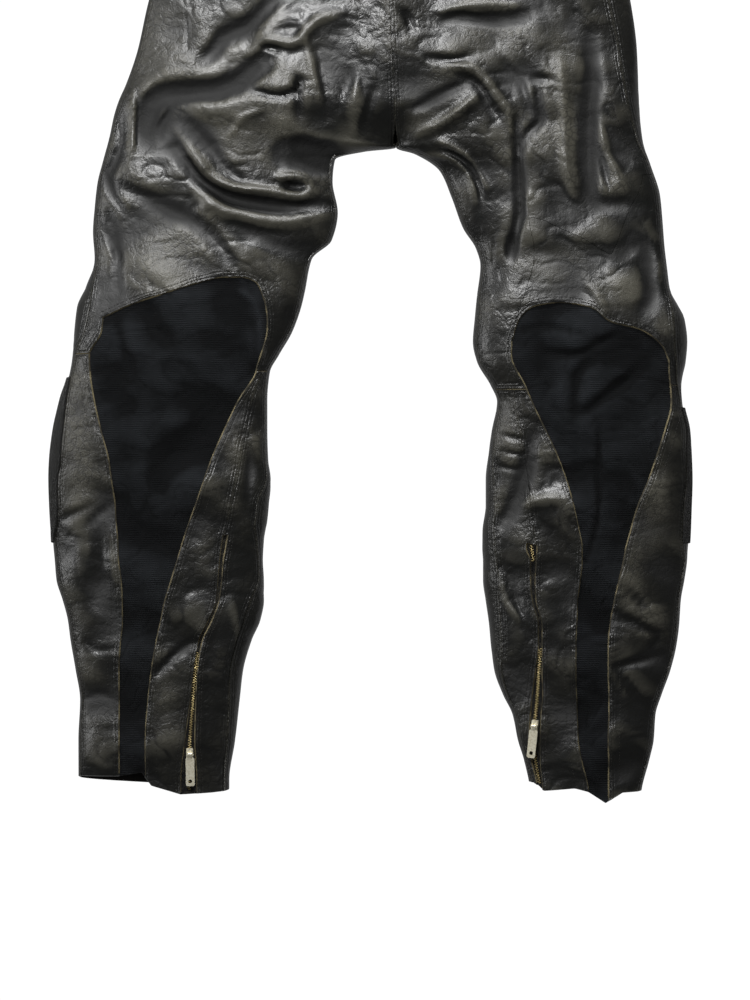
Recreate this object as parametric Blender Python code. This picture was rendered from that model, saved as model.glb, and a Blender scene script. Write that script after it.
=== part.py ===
"""Leather racing trousers, lying on their front on a flat surface with the legs apart.

+Z is up, +Y runs from the hems to the waist and +X to the right as seen from above, where the
back of the garment shows. The shape is worked out in millimetres and each mesh is in metres.
"""
import math

import bmesh
import bpy
import numpy as np
from mathutils import Matrix, Vector

MM = 0.001

# Walls, in millimetres
LEATHER = 2.0
KNIT = 1.6
KNEE_PADDING = 6.0
WAISTBAND = 3.0
PATCH = 2.0
ZIP_TAPE = 1.6
SEAM_GAP = 0.6
KNIT_SUNK = 0.7
ZIP_SUNK = 1.2
LAY_GAP = 0.4

# Section of a leg: the back is a low arch and the front is flat between two round edges
ARCH_FULLNESS = 0.72
EDGE_ROUND = 1.6

# Lengths down the garment where panels end, as heights above the middle of the garment
WAIST_TOP = 540.0
BAND_BOTTOM = 500.0

# Upper legs. One row a section, from the waist down to the back of the knee. Millimetres:
# outer edge across and up, inner edge across and up, height of the back, height of the edges,
# how far round the section goes (0.5 open at the centre, 1 a closed leg), side seam from the edge
UPPER = {
    "left": (
        (-213, 540, 18, 540, 34, 9, 0.5, 3),
        (-218, 500, 19, 500, 37, 9, 0.5, 3),
        (-238, 435, 20, 435, 42, 10, 0.5, 3),
        (-255, 383, 22, 383, 46, 10, 0.5, 3),
        (-268, 325, 25, 325, 50, 11, 0.5, 3),
        (-281, 287, 28, 268, 52, 12, 0.62, 3),
        (-290, 266, 29, 232, 50, 12, 0.88, 3),
        (-295, 250, 30, 214, 48, 12, 0.9995, 3),
        (-300, 226, -6, 209, 48, 13, 1.0, 3),
        (-307, 200, -40, 200, 48, 13, 1.0, 3),
        (-314, 172, -43, 174, 48, 13, 1.0, 3),
        (-317, 145, -37, 139, 49, 13, 1.0, 3),
        (-319, 116, -44, 107, 50, 14, 1.0, 3),
        (-317, 86, -67, 85, 52, 15, 1.0, 3),
        (-327, 53, -75, 47, 55, 18, 1.0, 9),
    ),
    "right": (
        (253, 540, 18, 540, 34, 9, 0.5, 24),
        (258, 500, 19, 500, 37, 9, 0.5, 26),
        (282, 435, 20, 435, 42, 10, 0.5, 27),
        (301, 383, 22, 383, 46, 10, 0.5, 27),
        (308, 325, 25, 325, 50, 11, 0.5, 23),
        (309, 287, 28, 268, 52, 12, 0.62, 17),
        (310, 266, 29, 232, 50, 12, 0.88, 14),
        (311, 250, 30, 214, 48, 12, 0.9995, 11),
        (314, 222, 52, 206, 48, 13, 1.0, 7),
        (323, 194, 80, 187, 48, 13, 1.0, 3),
        (334, 159, 94, 156, 48, 13, 1.0, 3),
        (337, 128, 107, 121, 49, 13, 1.0, 3),
        (339, 101, 122, 97, 50, 14, 1.0, 3),
        (342, 75, 127, 77, 52, 15, 1.0, 3),
        (345, 51, 123, 43, 55, 18, 1.0, 3),
    ),
}

# Lower legs. One row a section, from the knee to the hem. Millimetres: height above the middle
# of the garment, outer edge, stretch panel's outer and inner side, zip's two sides, inner edge,
# side seam from the outer edge, inner seam from the inner edge, height of the back and the edges
LOWER = {
    "left": (
        (30, -337, -306, -121, -100, -97, -79, 16, 3, 58, 21),
        (2, -340, -311, -123, -105, -102, -89, 13, 3, 60, 22),
        (-26, -342, -322, -126, -116, -114, -105, 3, 3, 60, 22),
        (-45, -345, -321, -130, -123, -120, -115, 3, 3, 59, 22),
        (-77, -355, -316, -150, -136, -133, -118, 7, 3, 58, 21),
        (-112, -363, -308, -167, -144, -141, -118, 11, 3, 56, 20),
        (-146, -367, -299, -182, -150, -147, -117, 12, 3, 55, 19),
        (-169, -368, -296, -190, -154, -151, -114, 10, 5, 54, 18),
        (-198, -367, -292, -200, -160, -157, -116, 9, 14, 53, 17),
        (-217, -366, -291, -207, -164, -161, -118, 7, 14, 52, 16),
        (-238, -365, -289, -214, -169, -164, -122, 3, 8, 50, 15),
        (-261, -363, -288, -221, -172, -168, -123, 3, 5, 49, 14),
        (-284, -361, -285, -228, -174, -170, -122, 3, 6, 48, 14),
        (-307, -354, -284, -235, -176, -173, -122, 3, 15, 47, 13),
        (-330, -348, -284, -240, -185, -181, -126, 3, 19, 46, 13),
        (-353, -345, -286, -245, -196, -192, -136, 3, 17, 45, 12),
        (-388, -339, -288, -251, -202, -198, -146, 3, 15, 43, 12),
        (-422, -334, -288, -255, -206, -200, -150, 3, 12, 41, 11),
        (-468, -336, -288, -258, -212, -201, -155, 3, 9, 38, 11),
        (-514, -336, -288, -258, -217, -199, -162, 3, 5, 34, 10),
        (-545, -336, -288, -258, -217, -199, -162, 3, 5, 32, 10),
    ),
    "right": (
        (15, 362, 343, 162, 144, 141, 120, 14, 5, 58, 21),
        (-10, 365, 343, 162, 143, 140, 118, 16, 5, 60, 22),
        (-33, 363, 343, 170, 150, 147, 123, 12, 3, 60, 22),
        (-61, 358, 345, 178, 161, 158, 139, 5, 3, 59, 22),
        (-79, 359, 346, 185, 166, 163, 146, 3, 3, 58, 21),
        (-112, 366, 338, 201, 171, 168, 140, 3, 3, 56, 20),
        (-140, 368, 329, 214, 177, 174, 136, 5, 5, 55, 19),
        (-169, 369, 319, 225, 181, 178, 133, 5, 9, 54, 18),
        (-198, 368, 307, 233, 184, 181, 133, 7, 10, 53, 17),
        (-229, 367, 298, 240, 188, 183, 129, 8, 13, 51, 16),
        (-247, 366, 293, 243, 191, 179, 129, 6, 14, 50, 15),
        (-263, 365, 290, 243, 190, 184, 130, 3, 15, 49, 14),
        (-284, 362, 285, 241, 189, 184, 130, 3, 18, 48, 14),
        (-307, 358, 280, 238, 190, 186, 133, 3, 15, 47, 13),
        (-336, 356, 275, 237, 197, 193, 137, 3, 13, 46, 13),
        (-359, 353, 273, 236, 197, 193, 139, 3, 12, 45, 12),
        (-388, 346, 273, 236, 197, 190, 143, 3, 8, 43, 12),
        (-416, 336, 274, 237, 198, 186, 153, 3, 5, 41, 11),
        (-439, 329, 274, 238, 196, 184, 164, 3, 4, 40, 11),
        (-468, 327, 273, 239, 195, 182, 170, 3, 3, 38, 11),
        (-491, 322, 274, 243, 195, 185, 177, 3, 3, 36, 10),
        (-526, 313, 274, 251, 198, 192, 184, 3, 3, 34, 10),
        (-552, 310, 274, 252, 198, 192, 185, 3, 3, 32, 10),
    ),
}

# Top of each stretch panel, from its outer to its inner corner: across and up
KNEE_ARCH = {
    "left": (
        (-306, 17), (-276, 31), (-236, 44), (-195, 57), (-167, 63), (-147, 63), (-130, 57), (-121, 38),
    ),
    "right": (
        (343, -33), (336, -17), (310, 3), (276, 12), (251, 29), (218, 34), (189, 30), (170, 14), (162, -10),
    ),
}

# Where the horns beside the stretch panel end, at its outer and at its inner side
HORN_END = {"left": (-24, -44), "right": (-60, -65)}

# Slanting seam across the right thigh, from the outer edge to the deep fold inside: across and up
THIGH_SEAM = (
    (313, 182), (299, 145), (283, 102), (276, 89), (264, 95), (241, 109), (218, 119), (198, 129), (182, 132),
)
THIGH_LEVEL = 150.0
CROTCH_ROW = 7

# Hems: across and up
HEM = {
    "left": (
        (-336, -509), (-290, -509), (-262, -505), (-251, -520), (-217, -530), (-182, -528), (-162, -526),
    ),
    "right": ((310, -527), (290, -528), (271, -540), (251, -527), (236, -523), (199, -526), (186, -514)),
}

# Strip behind the opening at the centre front, and how far under the waistband it starts
FLY = {"left": -4.0, "right": 44.0, "bottom": 345.0, "under_band": 1.0, "narrows_by": 0.5}

# Largest folds of the back: half width, height (a trough is negative), then the line it follows
FOLDS = (
    (10, -8, ((-109, 383), (-138, 354), (-167, 339), (-190, 312))),
    (14, -15, ((-129, 305), (-155, 285), (-184, 277), (-213, 277), (-236, 274), (-251, 262), (-258, 222))),
    (8, -6, ((-288, 251), (-290, 205), (-301, 176), (-290, 147))),
    (8, 7, ((-219, 228), (-196, 193), (-161, 166), (-115, 161), (-75, 155))),
    (10, -12, ((-219, 211), (-193, 176), (-150, 151), (-92, 145), (-46, 147))),
    (15, -16, ((-118, 206), (-80, 200), (-45, 192))),
    (10, 6, ((-196, 159), (-167, 139), (-104, 128), (-40, 141))),
    (10, -6, ((-288, 170), (-230, 147), (-196, 124), (-167, 90))),
    (10, -9, ((253, 337), (256, 291), (250, 210), (253, 165), (282, 147))),
    (8, -10, ((166, 189), (169, 153), (172, 141), (167, 113), (161, 95))),
    (9, -9, ((104, 297), (121, 285), (132, 268), (144, 251))),
    (6, 5, ((92, 305), (115, 305), (146, 271), (163, 233))),
    (8, -8, ((86, 358), (103, 362), (150, 358), (172, 360))),
    (9, -9, ((40, 230), (52, 256), (92, 280), (109, 285))),
    (12, -8, ((311, 101), (320, 72), (322, 38), (310, 26))),
    (22, -8, ((-155, -77), (-207, -123), (-236, -169), (-241, -215))),
    (12, -6, ((253, -31), (236, -54), (232, -100))),
    (10, -7, ((184, -123), (178, -157), (166, -192), (155, -215))),
    (9, -7, ((-304, -227), (-308, -270), (-305, -307))),
)

# Columns of the back's grid, from the side seam inwards: outer strip, stretch panel, calf behind
# the zip, zip, calf in front of the zip. Rows: hip, upper thigh, lower thigh, horns, calf
COLUMNS = (2, 8, 3, 1, 2)
ROWS = (11, 4, 5, 4, 18)
# Columns of the front's grid, as shares of its width, close together round the edges
FRONT_COLUMNS = (0.0, 0.06, 0.14, 0.32, 0.49, 0.66, 0.83, 0.89, 0.95, 1.0)
# Rows of the lower thigh that the knee cup takes, and rows of the calf
CUP_ABOVE = 2
CUP_BELOW = 1
ROWS_ABOVE_ZIP = {"left": 7, "right": 7}
# Rows of the calf and last columns of the front that the hook and loop patch covers
PATCH_ROWS = {"left": (1, 8), "right": (1, 7)}
PATCH_COLUMNS = 3

# Zip sliders: where each stands, the way its pull tab points, the rest of the sizes in millimetres
SLIDER_AT = {"left": (-207, -483), "right": (189.3, -451)}
PULL_WAY = {"left": (0.02, -1.0), "right": (-0.13, -1.0)}
SLIDER = {"width": 8.0, "length": 13.0, "height": 3.4, "stand_off": -0.8, "round": 1.1}
LUG = {"width": 1.2, "length": 3.6, "height": 3.2, "apart": 5.2, "sunk": 0.6}
PIN_RADIUS = 0.6
EYE_RADIUS = 1.05
EYE_OUTER = 1.9
EYE_CLEARANCE = 0.5
EYE_HALF_TURN = 120.0
EYE_STEPS = 16
PULL = {
    "width": 10.0,
    "length": 37.0,
    "thick": 1.6,
    "round": 2.2,
    "neck": 4.4,
    "neck_length": 4.0,
    "neck_sunk": 1.5,
    "neck_thinner": 0.15,
    "below_pin": 0.9,
    "hole": 2.2,
    "hole_from_end": 5.5,
}
PULL_RISE = 0.5
CUTTER_REACH = 4.0

# Underlap of the waistband's right half, from its free end: across and raised by
UNDERLAP_LIFT = WAISTBAND + 0.6
UNDERLAP = ((-16.0, UNDERLAP_LIFT), (6.0, UNDERLAP_LIFT), (23.0, UNDERLAP_LIFT), (30.0, 0.0))

STUD = {"radius": 7.5, "height": 2.4, "round": 1.2, "across": 0.0}


def clear_scene():
    """Take away everything that is in the file."""
    for item in list(bpy.data.objects):
        bpy.data.objects.remove(item)


def finish(name, colour, roughness, metallic=0.0):
    """A plain Principled material."""
    material = bpy.data.materials.new(name)
    material.use_nodes = True
    shader = material.node_tree.nodes["Principled BSDF"]
    shader.inputs["Base Color"].default_value = (*colour, 1.0)
    shader.inputs["Roughness"].default_value = roughness
    shader.inputs["Metallic"].default_value = metallic
    return material


def smooth_curve(knots, values, at):
    """Smooth curve through the values at the knots that never passes beyond them, read anywhere."""
    knots = np.asarray(knots, float)
    values = np.asarray(values, float)
    secants = np.diff(values) / np.diff(knots)
    before, after = secants[:-1], secants[1:]
    total = np.where(before * after > 0, before + after, 1.0)
    middle = np.where(before * after > 0, 2 * before * after / total, 0.0)
    slopes = np.concatenate([secants[:1], middle, secants[-1:]])
    index = np.clip(np.searchsorted(knots, at, side="right") - 1, 0, len(knots) - 2)
    span = knots[index + 1] - knots[index]
    t = np.clip((at - knots[index]) / span, -0.2, 1.2)
    start = (1 + 2 * t) * (1 - t) ** 2 * values[index] + t * (1 - t) ** 2 * span * slopes[index]
    end = t * t * (3 - 2 * t) * values[index + 1] + t * t * (t - 1) * span * slopes[index + 1]
    return start + end


def along_points(points, share):
    """Point on a smooth curve through the points, at a share of its length."""
    points = np.asarray(points, float)
    steps = np.hypot(*np.diff(points, axis=0).T)
    knots = np.concatenate(([0.0], np.cumsum(steps))) / steps.sum()
    return np.stack([smooth_curve(knots, points[:, axis], share) for axis in (0, 1)], axis=-1)


def fold_height(across, up):
    """Height of all folds over the smooth back at each place."""
    total = np.zeros(np.shape(across))
    for half_width, height, line in FOLDS:
        path = along_points(line, np.linspace(0, 1, 25))
        away = np.hypot(across[..., None] - path[:, 0], up[..., None] - path[:, 1])
        nearest = np.argmin(away, axis=-1)
        taper = np.sin(math.pi * (nearest + 1.5) / 27) ** 0.6
        total += height * taper * np.exp(-(np.min(away, axis=-1) / half_width) ** 2)
    return total


class Leg:
    """One half of the garment: half of the hips and a leg."""

    def __init__(self, side):
        self.side = side
        self.hand = 1.0 if side == "left" else -1.0
        upper = np.array(UPPER[side], float)
        lower = np.array(LOWER[side], float)
        level = lower[:, 0]
        closed = np.ones(len(level))
        outer, inner, height, edge, side_seam = lower[:, [1, 6, 9, 10, 7]].T
        below = np.stack([outer, level, inner, level, height, edge, closed, side_seam], 1)
        rows = np.concatenate([upper, below])
        names = ("outer_x", "outer_y", "inner_x", "inner_y", "height", "edge", "round", "side_seam")
        self.column = dict(zip(names, rows.T))
        middle = (rows[:, :2] + rows[:, 2:4]) / 2
        self.down = np.concatenate(([0.0], np.cumsum(np.abs(np.diff(middle[:, 1])))))
        self.level = level
        self.seam = {
            "knit_out": lower[:, 2],
            "knit_in": lower[:, 3],
            "zip_out": lower[:, 4],
            "zip_in": lower[:, 5],
        }
        self.inner_seam = np.concatenate([np.full(len(upper), 3.0), lower[:, 8]])

    def read(self, name, down):
        """A column of the section table at any length down the leg."""
        return smooth_curve(self.down, self.column[name], down)

    def half_width(self, down):
        """Half width of the closed section that a section is a part of."""
        width = np.hypot(
            self.read("inner_x", down) - self.read("outer_x", down),
            self.read("inner_y", down) - self.read("outer_y", down),
        )
        return width / (1 - np.cos(self.turn_at(down)))

    def turn_at(self, down):
        """Angle that half of a section covers: a quarter turn at the hips, half a turn in a leg."""
        return math.pi * np.clip(self.read("round", down), 0.5, 1.0)

    def skin(self, down, around):
        """Outer face. around is 0 at the outer edge, pi at the inner edge, 2 pi at the outer edge."""
        around = np.mod(around, 2 * math.pi)
        outer = np.stack([self.read("outer_x", down), self.read("outer_y", down)], -1)
        inner = np.stack([self.read("inner_x", down), self.read("inner_y", down)], -1)
        width = np.hypot(*np.moveaxis(inner - outer, -1, 0))
        half = self.half_width(down)
        over = around <= math.pi
        angle = np.where(over, around, 2 * math.pi - around)
        away = half * (1 - np.cos(angle))
        place = outer + (inner - outer) / width[..., None] * away[..., None]
        edge = self.read("edge", down)
        bend = edge * EDGE_ROUND
        closing = 1 - np.sin(self.turn_at(down))
        near_outer = np.clip(1 - away / bend, 0, 1)
        near_inner = np.clip(1 - (width - away) / bend, 0, 1)
        under = edge * (2 - np.sqrt(1 - near_outer ** 2) - np.sqrt(1 - (near_inner * closing) ** 2))
        rise = np.sin(np.clip(angle, 0, math.pi))
        folds = fold_height(place[..., 0], place[..., 1]) * np.sqrt(rise)
        top = edge + (self.read("height", down) - edge) * rise ** ARCH_FULLNESS + folds
        return np.concatenate([place, np.where(over, top, under)[..., None]], -1)

    def facing(self, down, around):
        """Unit normal of the outer face, pointing out."""
        along = self.skin(down + 0.6, around) - self.skin(down - 0.6, around)
        across = self.skin(down, around + 0.006) - self.skin(down, around - 0.006)
        normal = np.cross(along, across) * self.hand
        return normal / np.linalg.norm(normal, axis=-1, keepdims=True)

    def locate(self, across, up):
        """Length down and angle round the back of the point over a place on the ground."""
        low, high = self.down[0], self.down[-1]
        for _ in range(50):
            down = (low + high) / 2
            outer = (self.read("outer_x", down), self.read("outer_y", down))
            inner = (self.read("inner_x", down), self.read("inner_y", down))
            share = (across - outer[0]) / (inner[0] - outer[0])
            if outer[1] + share * (inner[1] - outer[1]) > up:
                low = down
            else:
                high = down
        away = math.hypot(across - outer[0], up - outer[1])
        inside = (across - outer[0]) * self.hand > 0
        share = away / float(self.half_width(down)) if inside else 0.0
        return float(down), math.acos(max(-1.0, 1 - share))

    def down_at(self, up):
        """Length down the leg at a height above the middle, along the leg's middle line."""
        middle = (self.column["outer_y"] + self.column["inner_y"]) / 2
        return float(np.interp(-up, -middle, self.down))

    def seam_angle(self, name, down):
        """Angle of one of the seams behind the lower leg."""
        up = self.read("outer_y", down)
        across = smooth_curve(-self.level, self.seam[name], -up)
        away = np.abs(across - self.read("outer_x", down))
        return np.arccos(1 - away / self.half_width(down))

    def side_angle(self, down):
        """Angle of the side seam, a little over the back."""
        return np.arccos(1 - self.read("side_seam", down) / self.half_width(down))

    def inner_angle(self, down):
        """Angle where the back ends: the centre seam, then the inner leg seam."""
        turn = self.turn_at(down)
        closed = (1 - np.sin(turn)) ** 6
        from_edge = smooth_curve(self.down, self.inner_seam, down)
        return turn - np.arccos(1 - from_edge / self.half_width(down)) * closed


def even_columns(edges, counts):
    """Angles of all columns when each panel's columns are evenly spaced between its edges."""
    angles = [edges[0]]
    for start, end, count in zip(edges, edges[1:], counts):
        angles += [start + (end - start) * (step + 1) / count for step in range(count)]
    return angles


def back_corners(leg):
    """Where each column crosses the panels' ends: waist, thigh seam, knee arch, horns' end, hem."""
    outer_count = COLUMNS[0]
    knit_count = COLUMNS[1]
    inner_count = sum(COLUMNS[2:])
    total = sum(COLUMNS)
    top = leg.down_at(BAND_BOTTOM)
    waist_angles = even_columns([leg.side_angle(top), leg.inner_angle(top)], [total])
    waist = [(top, float(angle)) for angle in waist_angles]
    fork = float(leg.down[CROTCH_ROW])
    crotch_angles = even_columns([leg.side_angle(fork), leg.inner_angle(fork)], [total])
    crotch = [(fork, float(angle)) for angle in crotch_angles]
    if leg.side == "right":
        seam = [leg.locate(*point) for point in THIGH_SEAM]
        seam_down, seam_angle = zip(*seam)
        first = float(leg.side_angle(seam_down[0]))
        last = float(leg.inner_angle(seam_down[-1]))
        angles = even_columns([first, seam_angle[-1], last], [outer_count + knit_count, inner_count])
        thigh = [(float(np.interp(angle, seam_angle, seam_down)), angle) for angle in angles]
    else:
        level = leg.down_at(THIGH_LEVEL)
        angles = even_columns([leg.side_angle(level), leg.inner_angle(level)], [total])
        thigh = [(level, float(angle)) for angle in angles]
    shares = [step / knit_count for step in range(knit_count + 1)]
    arch = [leg.locate(*along_points(KNEE_ARCH[leg.side], share)) for share in shares]
    outer_down, outer_angle = arch[0]
    inner_down, inner_angle = arch[-1]
    outside = even_columns([float(leg.side_angle(outer_down)), outer_angle], [outer_count])
    inside = even_columns([inner_angle, float(leg.inner_angle(inner_down))], [inner_count])
    knee = [(outer_down, angle) for angle in outside[:-1]]
    knee += arch
    knee += [(inner_down, angle) for angle in inside[1:]]
    horn_downs = [leg.down_at(up) for up in HORN_END[leg.side]]
    horns = []
    for index in range(total + 1):
        share = min(1.0, max(0.0, (index - outer_count) / knit_count))
        down = horn_downs[0] + (horn_downs[1] - horn_downs[0]) * share
        horns.append((down, float(even_columns(calf_edges(leg, down), COLUMNS)[index])))
    hem_x, hem_y = zip(*sorted(HEM[leg.side]))
    last_down = leg.down_at(min(hem_y))
    last_angles = even_columns(calf_edges(leg, last_down), COLUMNS)
    hem = []
    for angle in last_angles:
        across = float(leg.skin(np.array(last_down), np.array(angle))[0])
        hem.append((leg.down_at(float(np.interp(across, hem_x, hem_y))), float(angle)))
    return waist, crotch, thigh, knee, horns, hem


def calf_edges(leg, down):
    """Angles of the seams behind the lower leg, from the side seam to the inner leg seam."""
    names = ("knit_out", "knit_in", "zip_out", "zip_in")
    return [leg.side_angle(down), *(leg.seam_angle(name, down) for name in names), leg.inner_angle(down)]


def back_grid(leg):
    """Length down and angle of every grid point of the back."""
    corners = back_corners(leg)
    rows = []
    for part, count in enumerate(ROWS):
        for step in range(count):
            share = step / count
            row = []
            for start, end in zip(corners[part], corners[part + 1]):
                down = start[0] + (end[0] - start[0]) * share
                row.append((down, start[1] + (end[1] - start[1]) * share))
            rows.append(row)
    rows.append(corners[-1])
    grid = np.array(rows)
    first_calf_row = sum(ROWS[:4])
    for row in range(first_calf_row, len(rows)):
        for column in range(sum(COLUMNS) + 1):
            down = grid[row, column, 0]
            grid[row, column, 1] = even_columns(calf_edges(leg, down), COLUMNS)[column]
    # The hip rows follow the centre seam and the side seam from section to section
    for row in range(first_calf_row):
        ends = grid[row, [0, -1], 1].copy()
        goal = np.array([leg.side_angle(grid[row, 0, 0]), leg.inner_angle(grid[row, -1, 0])])
        share = (grid[row, :, 1] - ends[0]) / (ends[1] - ends[0])
        grid[row, :, 1] = goal[0] + share * (goal[1] - goal[0])
    return grid


def front_grid(leg, back):
    """Grid of the front, from the inner seam to the side seam. Its rows meet the back's rows."""
    rows = []
    for row in back:
        inner, outer = row[-1, 0], row[0, 0]
        line = []
        for share in FRONT_COLUMNS:
            down = inner + (outer - inner) * share
            start = 2 * math.pi - 2 * leg.turn_at(down) + leg.inner_angle(down)
            end = 2 * math.pi + leg.side_angle(down)
            line.append((down, float(start + (end - start) * share)))
        rows.append(line)
    return np.array(rows)


def wall(leg, grid, cells, thickness, sunk=0.0):
    """Outer and inner points of a panel made of the chosen cells, drawn back a little at seams."""
    outer = leg.skin(grid[..., 0], grid[..., 1])
    normal = leg.facing(grid[..., 0], grid[..., 1])
    padded = np.pad(cells.astype(int), 1)
    before = padded[:-1, :-1] + padded[1:, :-1], padded[:-1, :-1] + padded[:-1, 1:]
    after = padded[:-1, 1:] + padded[1:, 1:], padded[1:, :-1] + padded[1:, 1:]
    drawn = outer.copy()
    for axis, less, more in ((1, before[0], after[0]), (0, before[1], after[1])):
        ahead = np.roll(outer, -1, axis) - outer
        behind = np.roll(outer, 1, axis) - outer
        step = np.where((more > less)[..., None], ahead, behind)
        seam = np.gradient(outer, axis=1 - axis)
        seam /= np.linalg.norm(seam, axis=-1, keepdims=True)
        step -= seam * np.sum(seam * step, axis=-1, keepdims=True)
        unit = step / np.linalg.norm(step, axis=-1, keepdims=True)
        drawn += np.where((more != less)[..., None], unit, 0.0) * SEAM_GAP / 2
    return drawn - normal * sunk, drawn - normal * (sunk + thickness)


def make_object(name, mesh, material, smooth=True):
    """Turn a bmesh in metres into an object in the scene."""
    data = bpy.data.meshes.new(name)
    if mesh.calc_volume(signed=True) < 0:
        bmesh.ops.reverse_faces(mesh, faces=mesh.faces)
    mesh.to_mesh(data)
    mesh.free()
    data.materials.append(material)
    if smooth:
        data.shade_smooth()
        data.set_sharp_from_angle(angle=math.radians(50))
    item = bpy.data.objects.new(name, data)
    bpy.context.scene.collection.objects.link(item)
    return item


def panel(name, faces, cells, material):
    """Closed wall over the chosen cells of a grid. faces holds the outer and the inner points."""
    rows, columns = cells.shape
    mesh = bmesh.new()
    bmesh.ops.create_grid(mesh, x_segments=columns, y_segments=rows, size=1.0)
    mesh.faces.ensure_lookup_table()
    absent = []
    for face in mesh.faces:
        middle = face.calc_center_median()
        column = int((middle.x + 1) / 2 * columns)
        row = int((middle.y + 1) / 2 * rows)
        if not cells[row, column]:
            absent.append(face)
    bmesh.ops.delete(mesh, geom=absent, context="FACES")
    moved = bmesh.ops.extrude_face_region(mesh, geom=mesh.faces[:])
    second = {item for item in moved["geom"] if isinstance(item, bmesh.types.BMVert)}
    for point in mesh.verts:
        column = round((point.co.x + 1) / 2 * columns)
        row = round((point.co.y + 1) / 2 * rows)
        layer = faces[1] if point in second else faces[0]
        point.co = Vector(layer[row, column]) * MM
    bmesh.ops.triangulate(mesh, faces=mesh.faces[:], quad_method="SHORT_EDGE")
    return make_object(name, mesh, material)


def chosen(grid, row_range, column_range):
    """Cells of a block of the grid."""
    cells = np.zeros((grid.shape[0] - 1, grid.shape[1] - 1), bool)
    cells[row_range[0]:row_range[1], column_range[0]:column_range[1]] = True
    return cells


def back_panels(leg, grid, finishes):
    """Seat and thigh, stretch panel, calf panels and zip of one leg."""
    hip, thigh, horn, calf = np.cumsum(ROWS)[1:]
    outer, knit, behind, zipped, inner = np.cumsum(COLUMNS)
    opening = horn + ROWS_ABOVE_ZIP[leg.side]
    seat = chosen(grid, (0, hip), (0, inner))
    lower_thigh = chosen(grid, (hip, thigh), (0, knit)) | chosen(grid, (thigh, horn), (0, outer))
    inner_thigh = chosen(grid, (hip, horn), (knit, inner))
    pieces = {}
    if leg.side == "right":
        pieces["lower_thigh"] = (lower_thigh, LEATHER, 0.0, "leather")
        pieces["seat"] = (seat | inner_thigh, LEATHER, 0.0, "leather")
    else:
        pieces["seat"] = (seat | inner_thigh | lower_thigh, LEATHER, 0.0, "leather")
    pieces["stretch"] = (chosen(grid, (thigh, calf), (outer, knit)), KNIT, KNIT_SUNK, "knit")
    pieces["calf_outer"] = (chosen(grid, (horn, calf), (0, outer)), LEATHER, 0.0, "leather")
    pieces["calf_behind_zip"] = (chosen(grid, (horn, calf), (knit, behind)), LEATHER, 0.0, "leather")
    above = chosen(grid, (horn, opening), (behind, zipped))
    pieces["calf_inner"] = (chosen(grid, (horn, calf), (zipped, inner)) | above, LEATHER, 0.0, "leather")
    pieces["zip_tape"] = (chosen(grid, (opening, calf), (behind, zipped)), ZIP_TAPE, ZIP_SUNK, "tape")
    for name, (cells, thickness, sunk, look) in pieces.items():
        panel(f"{name}_{leg.side}", wall(leg, grid, cells, thickness, sunk), cells, finishes[look])


def front_panels(leg, grid, finishes):
    """Thigh front, knee cup and shin of one leg, and the patch that lies on the shin."""
    knee, horn, calf = np.cumsum(ROWS)[2:]
    last = grid.shape[1] - 1
    pieces = (
        ("thigh_front", 0, knee - CUP_ABOVE, LEATHER),
        ("knee_cup", knee - CUP_ABOVE, horn + CUP_BELOW, KNEE_PADDING),
        ("shin", horn + CUP_BELOW, calf, LEATHER),
    )
    for name, first, end, thickness in pieces:
        cells = chosen(grid, (first, end), (0, last))
        panel(f"{name}_{leg.side}", wall(leg, grid, cells, thickness), cells, finishes["leather"])
    first, end = PATCH_ROWS[leg.side]
    cells = chosen(grid, (horn + first, horn + end), (last - PATCH_COLUMNS, last))
    faces = wall(leg, grid, cells, PATCH, -LAY_GAP - PATCH)
    panel(f"hook_patch_{leg.side}", faces, cells, finishes["patch"])


def waistband(leg, back, front, finishes):
    """Half of the waistband, from the centre front round the side to the centre back.

    The right half starts past the centre front and lies inside the end of the left half.
    """
    angles = [*front[0, :, 1], *(back[0, 1:, 1] + 2 * math.pi)]
    downs = [leg.down_at(up) for up in (WAIST_TOP, (WAIST_TOP + BAND_BOTTOM) / 2, BAND_BOTTOM)]
    grid = np.array([[(down, angle) for angle in angles] for down in downs])
    cells = np.ones((len(downs) - 1, len(angles) - 1), bool)
    outer, inner = wall(leg, grid, cells, WAISTBAND)
    if leg.side == "right":
        outer, inner = underlap(outer), underlap(inner)
        cells = np.ones((len(downs) - 1, outer.shape[1] - 1), bool)
    panel(f"waistband_{leg.side}", (outer, inner), cells, finishes["leather"])


def underlap(points):
    """Lead the band's front end up a step and on past the centre front."""
    ends = []
    for across, lift in UNDERLAP:
        column = points[:, :1].copy()
        column[..., 0] = across
        column[..., 2] += lift
        ends.append(column)
    return np.concatenate([*ends, points[:, 1:]], 1)


def fly_guard(finishes):
    """Strip that lies inside the two thigh fronts behind the opening."""
    top = BAND_BOTTOM - FLY["under_band"]
    middle = (FLY["left"] + FLY["right"]) / 2
    half = (FLY["right"] - FLY["left"]) / 2
    mesh = bmesh.new()
    bmesh.ops.create_grid(mesh, x_segments=3, y_segments=8, size=1.0)
    moved = bmesh.ops.extrude_face_region(mesh, geom=mesh.faces[:])
    second = {item for item in moved["geom"] if isinstance(item, bmesh.types.BMVert)}
    for point in mesh.verts:
        up = FLY["bottom"] + (point.co.y + 1) / 2 * (top - FLY["bottom"])
        narrow = 1 - max(0.0, 1 - (point.co.y + 1) * 2) * FLY["narrows_by"]
        across = middle + point.co.x * half * narrow
        height = LEATHER + LAY_GAP + (LEATHER if point in second else 0.0)
        point.co = Vector((across, up, height)) * MM
    return make_object("fly_guard", mesh, finishes["leather"])


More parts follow.
